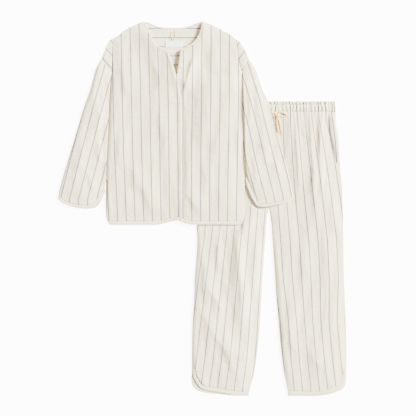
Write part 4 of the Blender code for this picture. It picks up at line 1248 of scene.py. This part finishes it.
def build_trousers(cloth, band, thread):
    """Leg panels, pocket facings, leg hem bands and the casing."""
    rise = smooth_line(RISE, 90)
    sides = {
        "left": (-1, LEG_SIDE_LEFT, INSEAM_LEFT, LEG_HEM_LEFT, LEG_HEM_LEFT_BACK, POCKET_LEFT, -191.0),
        "right": (1, LEG_SIDE_RIGHT, INSEAM_RIGHT, LEG_HEM_RIGHT, LEG_HEM_RIGHT_BACK, POCKET_RIGHT, 230.0),
    }
    for word, (sign, side_rows, inseam_rows, hem_rows, back_rows, pocket, corner) in sides.items():
        middle = rise + np.array([sign * SEAM / 2, 0])
        inner_rows = above(inseam_rows, 30)
        for layer, rows_table in (("front", hem_rows), ("back", back_rows)):
            is_front = layer == "front"
            columns, low_rows, step_columns = (96, 110, 6) if is_front else (40, 110, 4)
            hem = smooth_line(rows_table, columns - step_columns)
            seam = inset(hem, -sign * (LEG_BAND + SEAM))
            band_edge = inset(seam, sign * SEAM)
            corner_point = hem[0] + np.array([0, SEAM])
            seam[0, 1] += SEAM
            turned = joined(np.linspace(corner_point, seam[0], step_columns + 1), seam)
            inner = smooth_line([tuple(seam[-1])] + inner_rows[1:-1] + [tuple(middle[0])], low_rows)
            inner = joined(inner, middle)
            inner[-1, 1] = WAIST_SEAM - SEAM
            if is_front:
                mouth = smooth_line(pocket, 60)
                below_pocket = [row for row in side_rows if 150 < row[1] < 790]
                side = smooth_line([tuple(corner_point)] + below_pocket + [tuple(mouth[0])], 140)
                side = joined(side, mouth)
                height = mouth_lift(pocket, word)
            else:
                side = smooth_line([tuple(corner_point)] + above(side_rows, 150), 200)
                height = flat_layer
            side[-1, 1] = WAIST_SEAM - SEAM
            top = np.linspace(side[-1], inner[-1], columns + 1)
            grain = GRAIN[f"leg_front_{word}"]
            item = panel(f"leg_{layer}_{word}", (turned, top, side, inner), TROUSERS_ZERO, height, cloth,
                         lambda points, grain=grain: stripe_place(points, grain), is_front)
            hem_item = strip(f"leg_hem_{layer}_{word}", hem, band_edge, TROUSERS_ZERO,
                             leg_band_level(word) if is_front else flat_layer, band)
            if is_front:
                stitch_line("trousers", inset(seam, sign * 2.2)[2:-2], TROUSERS_ZERO,
                            lambda points, word=word: LAYER + WALL + 0.4 + leg_puff(points, word))
                stitch_line("trousers", mouth[2:-2] - np.array([sign * 5.0, 0]), TROUSERS_ZERO,
                            lambda points, pocket=pocket, word=word: mouth_lift(pocket, word)(
                                points, np.full(points.shape[:-1], 0.01), 0) + WALL + 0.1)
        build_facing(word, sign, side_rows, pocket, corner, cloth)
    build_casing(cloth)
    sew("trousers", thread)


def build_facing(word, sign, side_rows, pocket, corner, cloth):
    """The piece seen in the pocket mouth, from the side seam to a little way under the front."""
    mouth = smooth_line(pocket, 40)
    low_corner = (pocket[0][0] + sign * 1.6, pocket[0][1] + 4)
    side = smooth_line([low_corner] + above(side_rows, 810)[:-1] + [(corner, WAIST_SEAM - SEAM)], 40)
    tucked = mouth - np.array([sign * POCKET_TUCK, 0])
    tucked[0] = side[0] - np.array([sign * POCKET_TUCK, -3])
    tucked[-1, 1] = WAIST_SEAM - SEAM
    bottom = np.linspace(tucked[0], side[0], 13)
    top = np.linspace(tucked[-1], side[-1], 13)
    item = panel(f"pocket_facing_{word}", (bottom, top, tucked, side), TROUSERS_ZERO,
                 facing_level(pocket, word), cloth,
                 lambda points: stripe_place(points, GRAIN["pocket_facing"]))


def build_casing(cloth):
    """Gathered casing: one strip, folded at one side of the waist and seamed at the other."""
    columns = 420
    left = smooth_line(WAIST_LEFT, 28)
    right = smooth_line(WAIST_RIGHT, 28)
    bottom = np.linspace(left[0], right[0], columns + 1)
    top = np.linspace(left[-1], right[-1], columns + 1)
    points = patch(bottom, top, left, right)
    x, y = points[..., 0], points[..., 1]
    channel = np.exp(-((y - HEADING) / 2.2) ** 2)
    swayed = np.stack([x + 2.4 * ease((y - HEADING) / 4) + 1.1 * np.sin(y / 4.1 + x / 13), y], axis=-1)
    cells = 0.5 + 0.5 * np.sin(x / 2.9 + 1.2 * np.sin(y / 5)) * np.sin(y / 3.3 + x / 9)
    level = LAYER + (gathers(swayed) * 1.15 + 0.7 * cells) * (1 - 0.75 * channel)
    crown = 1.5 * np.sin(np.clip((y - WAIST_SEAM) / (HEADING - WAIST_SEAM), 0, 1) * math.pi)
    crown = crown + 1.1 * np.sin(np.clip((y - HEADING) / 12, 0, 1) * math.pi)
    edge_drop = ease((y - WAIST_TOP + 2.5) / 2.5) * 0.5 + ease((WAIST_SEAM + 1.5 - y) / 1.5) * 0.4
    level = level + crown - edge_drop
    place = stripe_place(points, GRAIN["leg_front_right"])
    place[..., 0] += 1.3 * np.sin(x / 6.1 + y / 3.7)
    item = folded_shell("waistband", points, points, 0 * level, level, TROUSERS_ZERO, cloth, place,
                        place)
    for height in (HEADING, WAIST_SEAM + 2.0):
        stitch_line("trousers", [(-186, height), (228, height)], TROUSERS_ZERO,
                    lambda grid: LAYER + gathers(grid) * 0.62 + WALL + 0.1, 1.8, 2.6)


def cord_mesh(name, rows, count, material, ring=12):
    """A flat tape along a course of points, with soft edges and round ends."""
    course = smooth_line(rows, count) + CORD_ZERO
    tangent = directions(course)
    side = np.cross(tangent, np.array([0, 0, 1.0]))
    side /= np.linalg.norm(side, axis=1)[:, None]
    up = np.cross(side, tangent)
    points, faces, place = [], [], []
    for i, centre in enumerate(course):
        taper = math.sqrt(min(1.0, 0.35 + min(i, len(course) - 1 - i) / 2))
        for k in range(ring):
            turn = 2 * math.pi * k / ring
            bulge = math.copysign(abs(math.cos(turn)) ** 0.7, math.cos(turn))
            points.append(centre + side[i] * CORD_WIDTH / 2 * taper * bulge
                          + up[i] * CORD_THICKNESS / 2 * taper * math.sin(turn))
            place.append((math.cos(turn) * CORD_WIDTH / 2, i * 1.0))
    for i in range(len(course) - 1):
        for k in range(ring):
            a, b = i * ring + k, i * ring + (k + 1) % ring
            faces.append((a, b, b + ring, a + ring))
    faces.append(tuple(range(ring))[::-1])
    faces.append(tuple(range((len(course) - 1) * ring, len(course) * ring)))
    item = finish_piece(name, np.array(points) * MM, faces, np.array(place) * MM, material)
    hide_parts("drawstring")
    return item, course * MM


def build_drawstring(material):
    """Both halves of the tied cord and the knot round them."""
    bpy.ops.object.select_all(action="DESELECT")
    centre = np.array(KNOT_CENTRE) + CORD_ZERO
    bpy.ops.mesh.primitive_uv_sphere_add(segments=32, ring_count=20, radius=1.0, location=centre * MM)
    knot = bpy.context.object
    knot.name = "drawstring_knot"
    knot.scale = np.array(KNOT_SIZE) * MM
    bpy.ops.object.transform_apply(location=True, rotation=True, scale=True)
    for vertex in knot.data.vertices:
        out = np.array(vertex.co) / MM - centre
        crease = 0.45 * math.exp(-((out[0] + 0.35 * out[1]) / 1.1) ** 2)
        ripple = np.array([0, 0, 0.25 * math.sin(out[0] * 1.6)])
        vertex.co = (centre + out * (1 - 0.16 * crease * 2) + ripple) * MM
    layer = knot.data.uv_layers.active
    layer.name = "cloth"
    for corner in layer.data:
        corner.uv = (corner.uv[0] * 0.03, corner.uv[1] * 0.012)
    bpy.ops.object.shade_smooth()
    knot.data.materials.append(material)
    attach(knot, "root")
    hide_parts("drawstring")
    halves = (("left", BOW_LEFT, CORD_LENGTHS[0], [knot]), ("right", BOW_RIGHT, CORD_LENGTHS[1], []))
    for word, rows, length, tied in halves:
        item, course = cord_mesh(f"drawstring_{word}", rows, 90, material)


# Camera, light and ground.
def soft_sun(name, turn, rise, spread, strength, colour=(1, 1, 1)):
    """An even light from a compass turn and a rise above the floor, in degrees."""
    data = bpy.data.lights.new(name, "SUN")
    data.angle = math.radians(spread)
    data.energy = strength
    data.color = colour
    item = bpy.data.objects.new(name, data)
    bpy.context.scene.collection.objects.link(item)
    item.rotation_euler = (math.radians(90 - rise), 0, math.radians(turn + 90))


def build_studio():
    """Pale floor, overhead camera and soft light from above and the right."""
    data = bpy.data.cameras.new("camera")
    data.sensor_width = SENSOR_WIDTH
    data.lens = SENSOR_WIDTH * CAMERA_HEIGHT / FRAME_WIDTH
    camera = bpy.data.objects.new("camera", data)
    bpy.context.scene.collection.objects.link(camera)
    camera.location = (FRAME_CENTRE[0], FRAME_CENTRE[1], CAMERA_HEIGHT)
    bpy.context.scene.camera = camera
    soft_sun("key", *KEY_SUN)
    soft_sun("fill", *FILL_SUN, SHADE_WARM)
    world = bpy.data.worlds.new("studio")
    world.use_nodes = True
    background = world.node_tree.nodes["Background"]
    background.inputs["Color"].default_value = (*SHADE_WARM, 1)
    background.inputs["Strength"].default_value = SHADE_LIGHT
    bpy.context.scene.world = world
    bpy.ops.object.select_all(action="DESELECT")
    bpy.ops.mesh.primitive_plane_add(size=FLOOR_SIZE, location=(0, 0, -FLOOR_DROP))
    floor = bpy.context.object
    floor.name = "floor"
    floor.data.materials.append(studio_floor("floor", FLOOR_WHITE))


def build_scene():
    """Materials, both garments, the cord and the studio."""
    build_studio()
    striped = woven_cloth("striped_cloth", CLOTH_CREAM, STRIPE_GREY)
    plain = woven_cloth("plain_band", BAND_CREAM, relief=0.6)
    label = woven_cloth("label_satin", LABEL_WHITE, relief=0.3)
    thread = twill_tape("thread", THREAD_CREAM, 0.0008)
    cord = twill_tape("cord_tape", CORD_PEACH, 0.0016)
    build_drawstring(cord)
    build_top(striped, plain, label, thread)
    build_trousers(striped, plain, thread)


build_scene()
bpy.context.view_layer.update()
